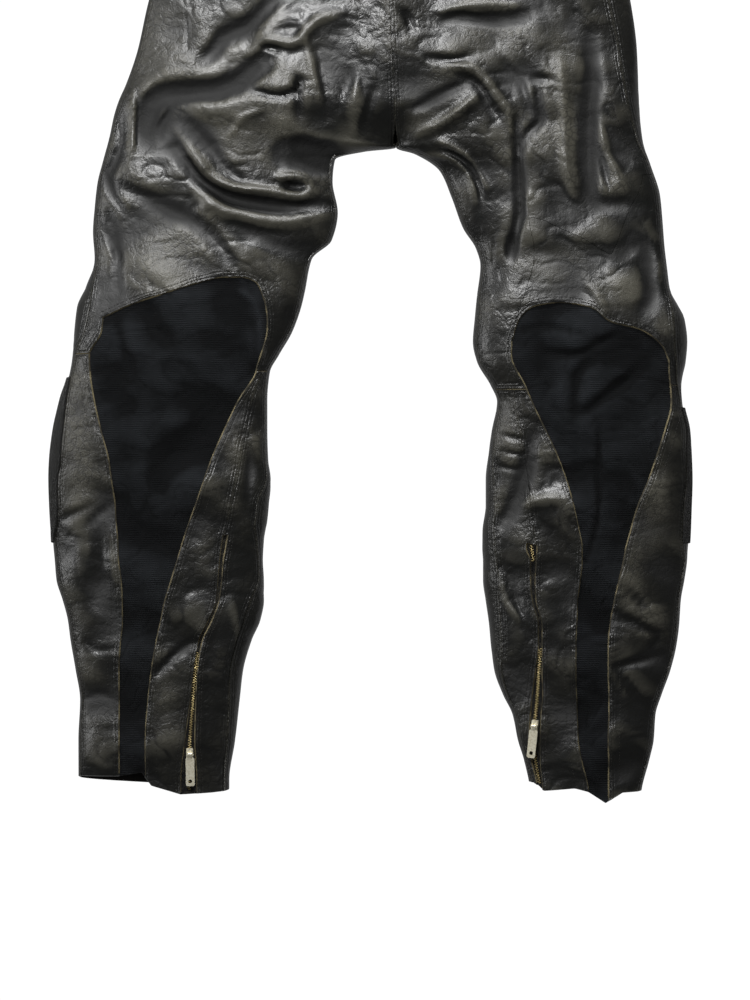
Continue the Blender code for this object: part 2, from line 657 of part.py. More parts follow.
def press_stud(finishes):
    """Low domed cap on the inside of the waistband's underlap."""
    mesh = bmesh.new()
    base = UNDERLAP_LIFT + WAISTBAND + LAY_GAP
    up = (WAIST_TOP + BAND_BOTTOM) / 2
    place = Matrix.Translation(Vector((STUD["across"], up, base + STUD["height"] / 2)) * MM)
    bmesh.ops.create_cone(
        mesh, cap_ends=True, segments=24, radius1=STUD["radius"] * MM, radius2=STUD["radius"] * MM,
        depth=STUD["height"] * MM, matrix=place,
    )
    middle = (base + STUD["height"] / 2) * MM
    rim = [edge for edge in mesh.edges if min(point.co.z for point in edge.verts) > middle]
    bmesh.ops.bevel(mesh, geom=rim, affect="EDGES", offset=STUD["round"] * MM, segments=3, profile=0.5)
    return make_object("press_stud", mesh, finishes["steel"])


def slider_frame(leg):
    """Axes of a zip's slider: across, along its pull tab and out of the cloth, with its place."""
    down, angle = leg.locate(*SLIDER_AT[leg.side])
    place = leg.skin(np.array(down), np.array(angle))
    out = Vector(leg.facing(np.array(down), np.array(angle)))
    way = Vector((*PULL_WAY[leg.side], 0.0))
    along = (way - out * way.dot(out)).normalized()
    across = out.cross(along).normalized()
    return across, along, out, Vector(place)


def frame_matrix(across, along, out, place):
    """Matrix that places a piece built with x across, y against the pull's way and z out."""
    turn = Matrix((across, -along, out)).transposed().to_4x4()
    return Matrix.Translation(place * MM) @ turn


def box(mesh, size, middle):
    """Add a box to a mesh, sizes in millimetres."""
    matrix = Matrix.Translation(Vector(middle) * MM) @ Matrix.Diagonal((*(Vector(size) * MM), 1.0))
    return bmesh.ops.create_cube(mesh, size=1.0, matrix=matrix)["verts"]


def helper(name, mesh):
    """An object that only serves a Boolean."""
    data = bpy.data.meshes.new(name)
    mesh.to_mesh(data)
    mesh.free()
    item = bpy.data.objects.new(name, data)
    bpy.context.scene.collection.objects.link(item)
    item.hide_render = True
    item.display_type = "WIRE"
    return item


def combine(item, other, operation):
    """Union or difference of an object with a helper."""
    modifier = item.modifiers.new(other.name, "BOOLEAN")
    modifier.operation = operation
    modifier.solver = "EXACT"
    modifier.object = other
    return modifier


def rod(mesh, radius, length, middle, segments=16):
    """Add a round rod along x, sizes in millimetres."""
    turn = Matrix.Rotation(math.pi / 2, 4, "Y")
    matrix = Matrix.Translation(Vector(middle) * MM) @ turn
    bmesh.ops.create_cone(
        mesh, cap_ends=True, segments=segments, radius1=radius * MM, radius2=radius * MM, depth=length * MM,
        matrix=matrix,
    )


def zip_slider(leg, finishes):
    """Slider with two lugs and a pin. Its origin is on the pin's axis."""
    across, along, out, place = slider_frame(leg)
    pin_height = SLIDER["stand_off"] + SLIDER["height"] + EYE_OUTER + EYE_CLEARANCE
    origin = place + out * pin_height
    body_middle = SLIDER["stand_off"] + SLIDER["height"] / 2 - pin_height
    mesh = bmesh.new()
    box(mesh, (SLIDER["width"], SLIDER["length"], SLIDER["height"]), (0, 0, body_middle))
    corners = [edge for edge in mesh.edges if abs(edge.verts[0].co.x - edge.verts[1].co.x) < 0.1 * MM]
    bmesh.ops.bevel(mesh, geom=corners, affect="EDGES", offset=SLIDER["round"] * MM, segments=2, profile=0.5)
    item = make_object(f"zip_slider_{leg.side}", mesh, finishes["steel"])
    lug_top = LUG["height"] - (pin_height - SLIDER["stand_off"] - SLIDER["height"])
    height = LUG["height"] + LUG["sunk"]
    aside = (LUG["apart"] + LUG["width"]) / 2
    for sign in (-1, 1):
        mesh = bmesh.new()
        box(mesh, (LUG["width"], LUG["length"], height), (sign * aside, 0, lug_top - height / 2))
        combine(item, helper(f"lug_{leg.side}_{sign + 1}", mesh), "UNION")
    mesh = bmesh.new()
    rod(mesh, PIN_RADIUS, LUG["apart"] + LUG["width"], (0, 0, 0))
    combine(item, helper(f"pin_{leg.side}", mesh), "UNION")
    for modifier in item.modifiers:
        modifier.object.matrix_world = frame_matrix(across, along, out, origin)
    item.matrix_world = frame_matrix(across, along, out, origin)
    return item


def eye_shape(drop):
    """Rounded eye that narrows into the plate, as an outline swept across the pull's neck."""
    mesh = bmesh.new()
    outline = []
    for step in range(EYE_STEPS + 1):
        angle = math.radians(EYE_HALF_TURN * (2 * step / EYE_STEPS - 1))
        outline.append((EYE_OUTER * math.cos(angle), EYE_OUTER * math.sin(angle)))
    tail = -PULL["neck_length"] - PULL["neck_sunk"]
    half = PULL["thick"] / 2 - PULL["neck_thinner"]
    outline += [(tail, drop + half), (tail, drop - half)]
    side = -PULL["neck"] / 2
    points = [mesh.verts.new(Vector((side, along, up)) * MM) for along, up in outline]
    face = mesh.faces.new(points)
    moved = bmesh.ops.extrude_face_region(mesh, geom=[face])
    swept = [item for item in moved["geom"] if isinstance(item, bmesh.types.BMVert)]
    bmesh.ops.translate(mesh, vec=Vector((PULL["neck"] * MM, 0, 0)), verts=swept)
    bmesh.ops.recalc_face_normals(mesh, faces=mesh.faces)
    return mesh


def zip_pull(leg, finishes):
    """Flat pull tab with an eye round the slider's pin. Its origin is on the pin's axis."""
    across, along, out, place = slider_frame(leg)
    pin_height = SLIDER["stand_off"] + SLIDER["height"] + EYE_OUTER + EYE_CLEARANCE
    origin = place + out * pin_height
    drop = -PULL["below_pin"]
    reach = PULL["length"] - PULL["neck_length"]
    mesh = bmesh.new()
    box(mesh, (PULL["width"], reach, PULL["thick"]), (0, -PULL["neck_length"] - reach / 2, drop))
    upright = [edge for edge in mesh.edges if abs(edge.verts[0].co.z - edge.verts[1].co.z) > 0.1 * MM]
    bmesh.ops.bevel(mesh, geom=upright, affect="EDGES", offset=PULL["round"] * MM, segments=4, profile=0.5)
    item = make_object(f"zip_pull_{leg.side}", mesh, finishes["pull"])
    parts = [helper(f"eye_{leg.side}", eye_shape(drop))]
    combine(item, parts[-1], "UNION")
    mesh = bmesh.new()
    rod(mesh, EYE_RADIUS, PULL["neck"] + CUTTER_REACH, (0, 0, 0), 20)
    parts.append(helper(f"eye_hole_{leg.side}", mesh))
    combine(item, parts[-1], "DIFFERENCE")
    mesh = bmesh.new()
    hole_at = Vector((0, PULL["hole_from_end"] - PULL["length"], drop)) * MM
    bmesh.ops.create_cone(
        mesh, cap_ends=True, segments=20, radius1=PULL["hole"] * MM, radius2=PULL["hole"] * MM,
        depth=2 * CUTTER_REACH * MM, matrix=Matrix.Translation(hole_at),
    )
    parts.append(helper(f"end_hole_{leg.side}", mesh))
    combine(item, parts[-1], "DIFFERENCE")
    tilt = Matrix.Rotation(math.radians(-PULL_RISE), 4, "X")
    matrix = frame_matrix(across, along, out, origin) @ tilt
    for part in parts:
        part.matrix_world = matrix
    item.matrix_world = matrix
    return item


def main():
    clear_scene()
    finishes = {
        "leather": finish("black_leather", (0.022, 0.022, 0.019), 0.42),
        "knit": finish("black_knit", (0.012, 0.013, 0.014), 0.9),
        "tape": finish("zip_tape_and_chain", (0.10, 0.08, 0.04), 0.5),
        "patch": finish("hook_and_loop", (0.01, 0.01, 0.01), 0.95),
        "steel": finish("plated_steel", (0.55, 0.5, 0.4), 0.3, 1.0),
        "pull": finish("pale_brass", (0.62, 0.55, 0.4), 0.3, 1.0),
    }
    for side in ("left", "right"):
        leg = Leg(side)
        back = back_grid(leg)
        front = front_grid(leg, back)
        back_panels(leg, back, finishes)
        front_panels(leg, front, finishes)
        waistband(leg, back, front, finishes)
        zip_slider(leg, finishes)
        zip_pull(leg, finishes)
    fly_guard(finishes)
    press_stud(finishes)


main()
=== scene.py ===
import math

import bmesh
import bpy
import numpy as np
from mathutils import Matrix, Vector, kdtree, noise


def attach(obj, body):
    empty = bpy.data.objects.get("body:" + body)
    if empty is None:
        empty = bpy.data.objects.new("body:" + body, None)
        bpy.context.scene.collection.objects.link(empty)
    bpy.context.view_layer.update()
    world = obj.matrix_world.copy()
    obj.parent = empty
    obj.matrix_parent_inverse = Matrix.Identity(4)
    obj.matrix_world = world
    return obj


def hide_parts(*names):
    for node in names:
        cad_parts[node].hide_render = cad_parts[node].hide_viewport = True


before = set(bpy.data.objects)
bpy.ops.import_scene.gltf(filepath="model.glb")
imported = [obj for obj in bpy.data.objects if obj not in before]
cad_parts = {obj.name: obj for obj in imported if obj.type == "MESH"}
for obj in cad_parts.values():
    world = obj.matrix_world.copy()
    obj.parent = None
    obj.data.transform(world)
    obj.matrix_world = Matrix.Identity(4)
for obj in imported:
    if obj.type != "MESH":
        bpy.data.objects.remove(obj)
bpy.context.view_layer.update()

# Leather racing trousers, lying on their front. Lengths are millimetres until a mesh is made.
mm = 0.001

cloth = {
    "leather": 2.0,
    "knit": 1.6,
    "kneePadding": 6.0,
    "waistband": 3.0,
    "patch": 2.0,
    "zipTape": 1.6,
    "seamGap": 0.5,
    "seamTuck": 0.5,
    "knitSunk": 2.1,
    "zipSunk": 2.1,
    "layGap": 0.4,
    "rawEdge": 0.4,
}
section = {"archFullness": 0.72, "edgeRound": 1.6, "waistTop": 540.0, "bandBottom": 500.0}

# Sections of the upper legs, from the waist to the knee: outer edge across and up, inner edge across
# and up, height of the back and of the edges, how far round the section goes, side seam from the edge
upperSections = {
    "left": (
        (-213, 540, 18, 540, 34, 9, 0.5, 3),
        (-218, 500, 19, 500, 37, 9, 0.5, 3),
        (-238, 435, 20, 435, 42, 10, 0.5, 3),
        (-255, 383, 22, 383, 46, 10, 0.5, 3),
        (-268, 325, 25, 325, 50, 11, 0.5, 3),
        (-281, 287, 28, 268, 52, 12, 0.62, 3),
        (-290, 266, 29, 232, 50, 12, 0.88, 3),
        (-295, 250, 30, 214, 48, 12, 0.9995, 3),
        (-300, 226, -6, 209, 48, 13, 1.0, 3),
        (-307, 200, -40, 200, 48, 13, 1.0, 3),
        (-314, 172, -43, 174, 48, 13, 1.0, 3),
        (-317, 145, -37, 139, 49, 13, 1.0, 3),
        (-319, 116, -44, 107, 50, 14, 1.0, 3),
        (-317, 86, -67, 85, 52, 15, 1.0, 3),
        (-327, 53, -75, 47, 55, 18, 1.0, 9),
    ),
    "right": (
        (253, 540, 18, 540, 34, 9, 0.5, 24),
        (258, 500, 19, 500, 37, 9, 0.5, 26),
        (282, 435, 20, 435, 42, 10, 0.5, 27),
        (301, 383, 22, 383, 46, 10, 0.5, 27),
        (308, 325, 25, 325, 50, 11, 0.5, 23),
        (309, 287, 28, 268, 52, 12, 0.62, 17),
        (310, 266, 29, 232, 50, 12, 0.88, 14),
        (311, 250, 30, 214, 48, 12, 0.9995, 11),
        (314, 222, 52, 206, 48, 13, 1.0, 7),
        (323, 194, 80, 187, 48, 13, 1.0, 3),
        (334, 159, 94, 156, 48, 13, 1.0, 3),
        (337, 128, 107, 121, 49, 13, 1.0, 3),
        (339, 101, 122, 97, 50, 14, 1.0, 3),
        (342, 75, 127, 77, 52, 15, 1.0, 3),
        (345, 51, 123, 43, 55, 18, 1.0, 3),
    ),
}

# Sections of the lower legs: height above the middle, outer edge, knit's two sides, zip's two sides,
# inner edge, side seam and inner seam from the edges, height of the back and of the edges
lowerSections = {
    "left": (
        (30, -337, -306, -121, -100, -97, -79, 16, 3, 58, 21),
        (2, -340, -311, -123, -105, -102, -89, 13, 3, 60, 22),
        (-26, -342, -322, -126, -116, -114, -105, 3, 3, 60, 22),
        (-45, -345, -321, -130, -123, -120, -115, 3, 3, 59, 22),
        (-77, -355, -316, -150, -136, -133, -118, 7, 3, 58, 21),
        (-112, -363, -308, -167, -144, -141, -118, 11, 3, 56, 20),
        (-146, -367, -299, -182, -150, -147, -117, 12, 3, 55, 19),
        (-169, -368, -296, -190, -154, -151, -114, 10, 5, 54, 18),
        (-198, -367, -292, -200, -160, -157, -116, 9, 14, 53, 17),
        (-217, -366, -291, -207, -164, -161, -118, 7, 14, 52, 16),
        (-238, -365, -289, -214, -169, -164, -122, 3, 8, 50, 15),
        (-261, -363, -288, -221, -172, -168, -123, 3, 5, 49, 14),
        (-284, -361, -285, -228, -174, -170, -122, 3, 6, 48, 14),
        (-307, -354, -284, -235, -176, -173, -122, 3, 15, 47, 13),
        (-330, -348, -284, -240, -185, -181, -126, 3, 19, 46, 13),
        (-353, -345, -286, -245, -196, -192, -136, 3, 17, 45, 12),
        (-388, -339, -288, -251, -202, -198, -146, 3, 15, 43, 12),
        (-422, -334, -288, -255, -206, -200, -150, 3, 12, 41, 11),
        (-468, -336, -288, -258, -212, -201, -155, 3, 9, 38, 11),
        (-514, -336, -288, -258, -217, -199, -162, 3, 5, 34, 10),
        (-545, -336, -288, -258, -217, -199, -162, 3, 5, 32, 10),
    ),
    "right": (
        (15, 362, 343, 162, 144, 141, 120, 14, 5, 58, 21),
        (-10, 365, 343, 162, 143, 140, 118, 16, 5, 60, 22),
        (-33, 363, 343, 170, 150, 147, 123, 12, 3, 60, 22),
        (-61, 358, 345, 178, 161, 158, 139, 5, 3, 59, 22),
        (-79, 359, 346, 185, 166, 163, 146, 3, 3, 58, 21),
        (-112, 366, 338, 201, 171, 168, 140, 3, 3, 56, 20),
        (-140, 368, 329, 214, 177, 174, 136, 5, 5, 55, 19),
        (-169, 369, 319, 225, 181, 178, 133, 5, 9, 54, 18),
        (-198, 368, 307, 233, 184, 181, 133, 7, 10, 53, 17),
        (-229, 367, 298, 240, 188, 183, 129, 8, 13, 51, 16),
        (-247, 366, 293, 243, 191, 179, 129, 6, 14, 50, 15),
        (-263, 365, 290, 243, 190, 184, 130, 3, 15, 49, 14),
        (-284, 362, 285, 241, 189, 184, 130, 3, 18, 48, 14),
        (-307, 358, 280, 238, 190, 186, 133, 3, 15, 47, 13),
        (-336, 356, 275, 237, 197, 193, 137, 3, 13, 46, 13),
        (-359, 353, 273, 236, 197, 193, 139, 3, 12, 45, 12),
        (-388, 346, 273, 236, 197, 190, 143, 3, 8, 43, 12),
        (-416, 336, 274, 237, 198, 186, 153, 3, 5, 41, 11),
        (-439, 329, 274, 238, 196, 184, 164, 3, 4, 40, 11),
        (-468, 327, 273, 239, 195, 182, 170, 3, 3, 38, 11),
        (-491, 322, 274, 243, 195, 185, 177, 3, 3, 36, 10),
        (-526, 313, 274, 251, 198, 192, 184, 3, 3, 34, 10),
        (-552, 310, 274, 252, 198, 192, 185, 3, 3, 32, 10),
    ),
}

kneeArch = {
    "left": (
        (-306, 17), (-276, 31), (-236, 44), (-195, 57), (-167, 63), (-147, 63), (-130, 57), (-121, 38),
    ),
    "right": (
        (343, -33), (336, -17), (310, 3), (276, 12), (251, 29), (218, 34), (189, 30), (170, 14), (162, -10),
    ),
}
hornEnd = {"left": (-24, -44), "right": (-60, -65)}
thighSeam = (
    (313, 182), (299, 145), (283, 102), (276, 89), (264, 95), (241, 109), (218, 119), (198, 129), (182, 132),
)
thighLevel = 150.0
crotchRow = 7
hem = {
    "left": (
        (-336, -509), (-290, -509), (-262, -505), (-251, -520), (-217, -530), (-182, -528), (-162, -526),
    ),
    "right": ((310, -527), (290, -528), (271, -540), (251, -527), (236, -523), (199, -526), (186, -514)),
}

# Folds of the back: half width, height (a trough is negative), steepness, then the line it follows
folds = {
    "hips": (
        (9, -9, 2, ((-109, 383), (-124, 366), (-138, 354), (-167, 339), (-178, 325), (-190, 312))),
        (12, -13, 3, ((-124, 307), (-155, 285), (-184, 277), (-213, 277), (-236, 274), (-251, 262), (-256, 245), (-258, 220))),
        (4, 3, 2, ((-233, 260), (-247, 239), (-251, 225))),
        (4, -4, 2, ((-223, 263), (-232, 251), (-240, 236), (-241, 222))),
        (6, -6, 2, ((-288, 254), (-286, 222), (-290, 205), (-301, 176), (-297, 159), (-289, 146))),
        (4, 3, 2, ((-273, 282), (-271, 245), (-273, 210), (-278, 192))),
        (3, -2.5, 2, ((-267, 277), (-266, 245), (-267, 213))),
        (6, 8, 2, ((-221, 231), (-207, 210), (-195, 193), (-182, 176), (-161, 167), (-115, 161), (-80, 155), (-68, 163))),
        (4, 5, 2, ((-68, 163), (-74, 175), (-86, 179), (-105, 178))),
        (8, -11, 2, ((-221, 210), (-193, 176), (-150, 151), (-92, 144), (-44, 146))),
        (17, -17, 4, ((-38, 199), (-60, 201), (-80, 206), (-95, 205))),
        (5, -8, 3, ((-97, 168), (-76, 167))),
        (8, 6, 2, ((-200, 162), (-167, 139), (-138, 131), (-103, 126), (-40, 139))),
        (9, -7, 2, ((-290, 171), (-253, 153), (-218, 136), (-195, 122), (-163, 86))),
        (6, -5, 2, ((-301, 144), (-290, 95), (-288, 47))),
        (7, -6, 2, ((-207, 238), (-186, 216), (-170, 193), (-147, 171))),
        (6, 5, 2, ((-136, 321), (-117, 335), (-92, 331), (-57, 360), (-32, 367))),
        (4, -5, 2, ((-124, 328), (-101, 324))),
        (5, -6, 2, ((-136, 277), (-103, 271), (-85, 277), (-79, 289))),
        (4, -5, 2, ((-83, 291), (-82, 243))),
        (3, 2.5, 2, ((-159, 227), (-144, 247), (-122, 255))),
        (9, -4, 2, ((-150, 121), (-115, 101), (-80, 95), (-55, 107))),
        (5, -4, 2, ((-21, 300), (-28, 279), (-36, 254))),
        (4, -4, 2, ((7, 282), (-2, 256), (-10, 231))),
        (5, 3, 2, ((-15, 300), (-17, 268), (-18, 231))),
        (3, -2, 2, ((-210, 365), (-209, 348), (-210, 328))),
        (4, -3, 2, ((-307, 190), (-296, 162), (-282, 139))),
        (4, -3, 2, ((-312, 137), (-300, 109), (-285, 82))),
        (5, 3, 2, ((-80, 360), (-69, 314), (-55, 263))),
        (4, -3, 2, ((-60, 325), (-55, 291), (-46, 247))),
        (8, -8, 2, ((84, 358), (103, 362), (126, 359), (150, 358), (177, 361))),
        (6, 4, 2, ((80, 365), (115, 374), (175, 375))),
        (5, -5, 2, ((37, 369), (44, 358), (49, 345))),
        (5, -5, 2, ((67, 314), (92, 312), (118, 317))),
        (5, -5, 2, ((49, 255), (71, 268), (92, 278), (112, 286))),
        (6, 6, 2, ((53, 229), (76, 238), (94, 248), (123, 271))),
        (5, 6, 2, ((90, 305), (115, 302), (132, 289), (146, 270), (158, 251), (163, 231))),
        (5, -6, 2, ((101, 296), (121, 285), (132, 268), (145, 247))),
        (5, -9, 2, ((166, 243), (169, 210), (171, 176), (172, 141), (167, 113), (161, 91))),
        (6, -8, 2, ((163, 112), (163, 86))),
        (4, 4, 2, ((78, 220), (98, 210), (115, 197), (133, 167))),
        (4, 4, 2, ((61, 205), (86, 201), (103, 193), (115, 176), (121, 151))),
        (4, -5, 2, ((85, 209), (105, 199), (120, 181), (128, 155))),
        (5, -6, 2, ((191, 282), (195, 245), (181, 228), (172, 208))),
        (5, -5, 2, ((182, 291), (207, 290))),
        (9, -10, 2, ((253, 342), (255, 291), (251, 256), (250, 210), (253, 164), (264, 147), (284, 146))),
        (5, 4, 2, ((264, 241), (270, 210), (282, 187), (290, 162))),
        (4, -5, 2, ((264, 208), (274, 162))),
        (9, -8, 2, ((301, 98), (312, 100), (320, 72), (322, 38), (312, 24))),
        (5, 3, 2, ((246, 60), (259, 44), (271, 24))),
        (6, 4, 2, ((218, 314), (222, 256), (224, 199), (232, 153))),
        (5, -3, 2, ((150, 314), (175, 279), (184, 245))),
    ),
    "knees": (
        (5, -3, 2, ((-290, 17), (-282, -14), (-269, -45))),
        (5, -3, 2, ((-253, 34), (-247, 9), (-229, -10))),
        (22, -8, 2, ((-155, -77), (-207, -123), (-236, -169), (-241, -217))),
        (5, -3, 2, ((170, 3), (201, 6), (244, -2))),
        (5, -4, 2, ((199, -25), (230, -25), (284, -1))),
        (7, -5, 2, ((255, -29), (236, -54), (232, -102))),
        (7, -5, 2, ((313, -40), (264, -77), (239, -95))),
        (4, -3, 2, ((261, -103), (262, -169), (261, -204), (255, -238), (247, -263))),
        (4, 3, 2, ((-150, 49), (-129, 31), (-124, -3), (-124, -33))),
    ),
    "calves": (
        (9, -8, 2, ((186, -121), (178, -158), (167, -192), (153, -220))),
        (7, 4, 2, ((170, -199), (195, -192), (221, -190))),
        (3, -3, 2, ((146, -116), (175, -123))),
        (3, -3, 2, ((148, -135), (176, -141))),
        (3, -3, 2, ((146, -153), (171, -158))),
        (5, 4, 2, ((148, -276), (155, -307), (183, -338))),
        (4, -3, 2, ((291, -288), (324, -327))),
        (5, -5, 2, ((285, -325), (310, -335), (329, -348), (321, -365))),
        (5, -4, 2, ((279, -383), (310, -376), (336, -369))),
        (4, -3, 2, ((285, -388), (313, -430))),
        (4, -3, 2, ((-356, -217), (-320, -197))),
        (4, -3, 2, ((-327, -223), (-293, -194))),
        (8, -6, 2, ((-313, -224), (-308, -267), (-314, -309))),
        (6, -4, 2, ((-146, -112), (-138, -146), (-140, -192))),
        (6, 3, 2, ((-159, -307), (-150, -353), (-154, -411))),
        (5, -4, 2, ((-251, -397), (-230, -376), (-212, -360), (-195, -353))),
        (5, -4, 2, ((163, -278), (172, -319), (189, -353))),
        (4, -3, 2, ((-327, -353), (-310, -365), (-290, -362))),
        (4, -3, 2, ((-329, -422), (-310, -415), (-290, -424))),
    ),
}

# Blocks of the grid and how finely each is divided
blocks = {
    "columns": (2, 8, 3, 1, 2),
    "columnSteps": (7, 8, 6, 4, 8),
    "rows": (11, 4, 5, 4, 18),
    "rowSteps": (10, 9, 8, 8, 10),
    "frontColumns": (0.0, 0.06, 0.14, 0.32, 0.49, 0.66, 0.83, 0.89, 0.95, 1.0),
    "frontSteps": 2,
    "cupAbove": 2,
    "cupBelow": 1,
    "aboveZip": 7,
    "patchRows": {"left": (1, 8), "right": (1, 7)},
    "patchColumns": 3,
}
fineColumns = [count * steps for count, steps in zip(blocks["columns"], blocks["columnSteps"])]
fineRows = [count * steps for count, steps in zip(blocks["rows"], blocks["rowSteps"])]


def smoothCurve(knots, values, at):
    # smooth, and never beyond the values at the knots
    knots = np.asarray(knots, float)
    values = np.asarray(values, float)
    secants = np.diff(values) / np.diff(knots)
    before, after = secants[:-1], secants[1:]
    total = np.where(before * after > 0, before + after, 1.0)
    middle = np.where(before * after > 0, 2 * before * after / total, 0.0)
    slopes = np.concatenate([secants[:1], middle, secants[-1:]])
    index = np.clip(np.searchsorted(knots, at, side="right") - 1, 0, len(knots) - 2)
    span = knots[index + 1] - knots[index]
    t = np.clip((at - knots[index]) / span, -0.2, 1.2)
    start = (1 + 2 * t) * (1 - t) ** 2 * values[index] + t * (1 - t) ** 2 * span * slopes[index]
    end = t * t * (3 - 2 * t) * values[index + 1] + t * t * (t - 1) * span * slopes[index + 1]
    return start + end


def alongPoints(points, share):
    points = np.asarray(points, float)
    steps = np.hypot(*np.diff(points, axis=0).T)
    knots = np.concatenate(([0.0], np.cumsum(steps))) / steps.sum()
    return np.stack([smoothCurve(knots, points[:, axis], share) for axis in (0, 1)], axis=-1)


def fadeIn(value, low, high):
    t = np.clip((value - low) / (high - low), 0, 1)
    return t * t * (3 - 2 * t)


def foldHeight(across, up):
    # height of all folds over the smooth back
    total = np.zeros(np.shape(across))
    for rows in folds.values():
        for halfWidth, height, steepness, line in rows:
            path = alongPoints(line, np.linspace(0, 1, 30))
            reach = halfWidth * 2.6
            low, high = path.min(axis=0) - reach, path.max(axis=0) + reach
            near = (across > low[0]) & (across < high[0]) & (up > low[1]) & (up < high[1])
            if not near.any():
                continue
            place = np.stack([across[near], up[near]], -1)[:, None]
            step = path[1:] - path[:-1]
            share = np.sum((place - path[:-1]) * step, -1) / np.sum(step * step, -1)
            share = np.clip(share, 0, 1)
            away = np.linalg.norm(place - path[:-1] - share[..., None] * step, axis=-1)
            nearest = np.argmin(away, axis=-1)
            lengthShare = (nearest + np.take_along_axis(share, nearest[:, None], 1)[:, 0]) / len(step)
            taper = np.sin(math.pi * (lengthShare * 0.94 + 0.03)) ** 0.45
            distance = np.take_along_axis(away, nearest[:, None], 1)[:, 0]
            total[near] += height * taper * np.exp(-(distance / halfWidth) ** steepness)
    return total


# Uneven surface between the folds: size across and up, depth, and a start of its own
unevenness = {
    "slack": (66.0, 50.0, 6.5, 3.1),
    "ripples": (30.0, 22.0, 1.7, 11.7),
    "creases": (48.0, 26.0, 1.0, 23.9),
    "fine": (11.0, 8.0, 0.12, 41.3),
}


def crumple(across, up, creased):
    flat = np.stack([np.ravel(across), np.ravel(up)], 1)
    result = np.zeros(len(flat))
    sizes = unevenness
    for index, (x, y) in enumerate(flat):
        width, length, depth, start = sizes["slack"]
        slack = noise.noise(Vector((x / width, y / length, start)))
        height = slack * depth
        width, length, depth, start = sizes["ripples"]
        ripple = noise.noise(Vector((x / width + slack, y / length, start)))
        height += ripple * depth
        width, length, depth, start = sizes["creases"]
        line = noise.noise(Vector((x / width + 1.4 * slack, y / length + 0.8 * ripple, start)))
        height -= depth * creased * max(0.0, 1 - abs(line) * 7) ** 2
        width, length, depth, start = sizes["fine"]
        height += depth * creased * noise.noise(Vector((x / width + ripple, y / length, start)))
        result[index] = height
    return result.reshape(np.shape(across))


# Where the leather is scuffed paler, or painted with shade in troughs where negative: middle, reach across and up,
# strength
wearAndShadePatches = (
    (-228, 82, 46, 42, 1.0), (-150, 222, 44, 30, 0.7), (-245, 325, 48, 70, 0.6), (-95, 232, 30, 24, 0.7),
    (-120, 65, 44, 22, 0.5), (-60, 320, 24, 26, 0.5), (69, 262, 40, 30, 0.6), (205, 76, 44, 26, 0.7),
    (284, 46, 30, 22, 0.9), (218, 290, 20, 90, 0.7), (135, 330, 46, 28, 0.6), (180, 230, 26, 40, 0.6),
    (-336, -112, 22, 90, 0.8), (-150, -140, 18, 34, 0.8), (-318, -190, 26, 50, 0.4), (-236, -416, 20, 36, 0.5),
    (322, -190, 24, 90, 0.7), (156, -100, 14, 40, 0.5), (296, -262, 16, 50, 0.6), (-318, -440, 30, 60, 0.2),
    (-170, -330, 22, 90, -0.5), (-60, 200, 40, 26, -0.8), (180, -330, 30, 60, -0.3), (300, -450, 40, 60, -0.4),
    (225, 130, 60, 20, -0.5), (-290, 190, 20, 60, -0.6), (20, 290, 26, 60, -0.4),
)


def wearAndShadeAt(across, up):
    total = np.zeros(np.shape(across))
    for x, y, reachAcross, reachUp, strength in wearAndShadePatches:
        away = ((across - x) / reachAcross) ** 2 + ((up - y) / reachUp) ** 2
        total += strength * np.exp(-away ** 1.5)
    return np.clip(total, -1, 1)


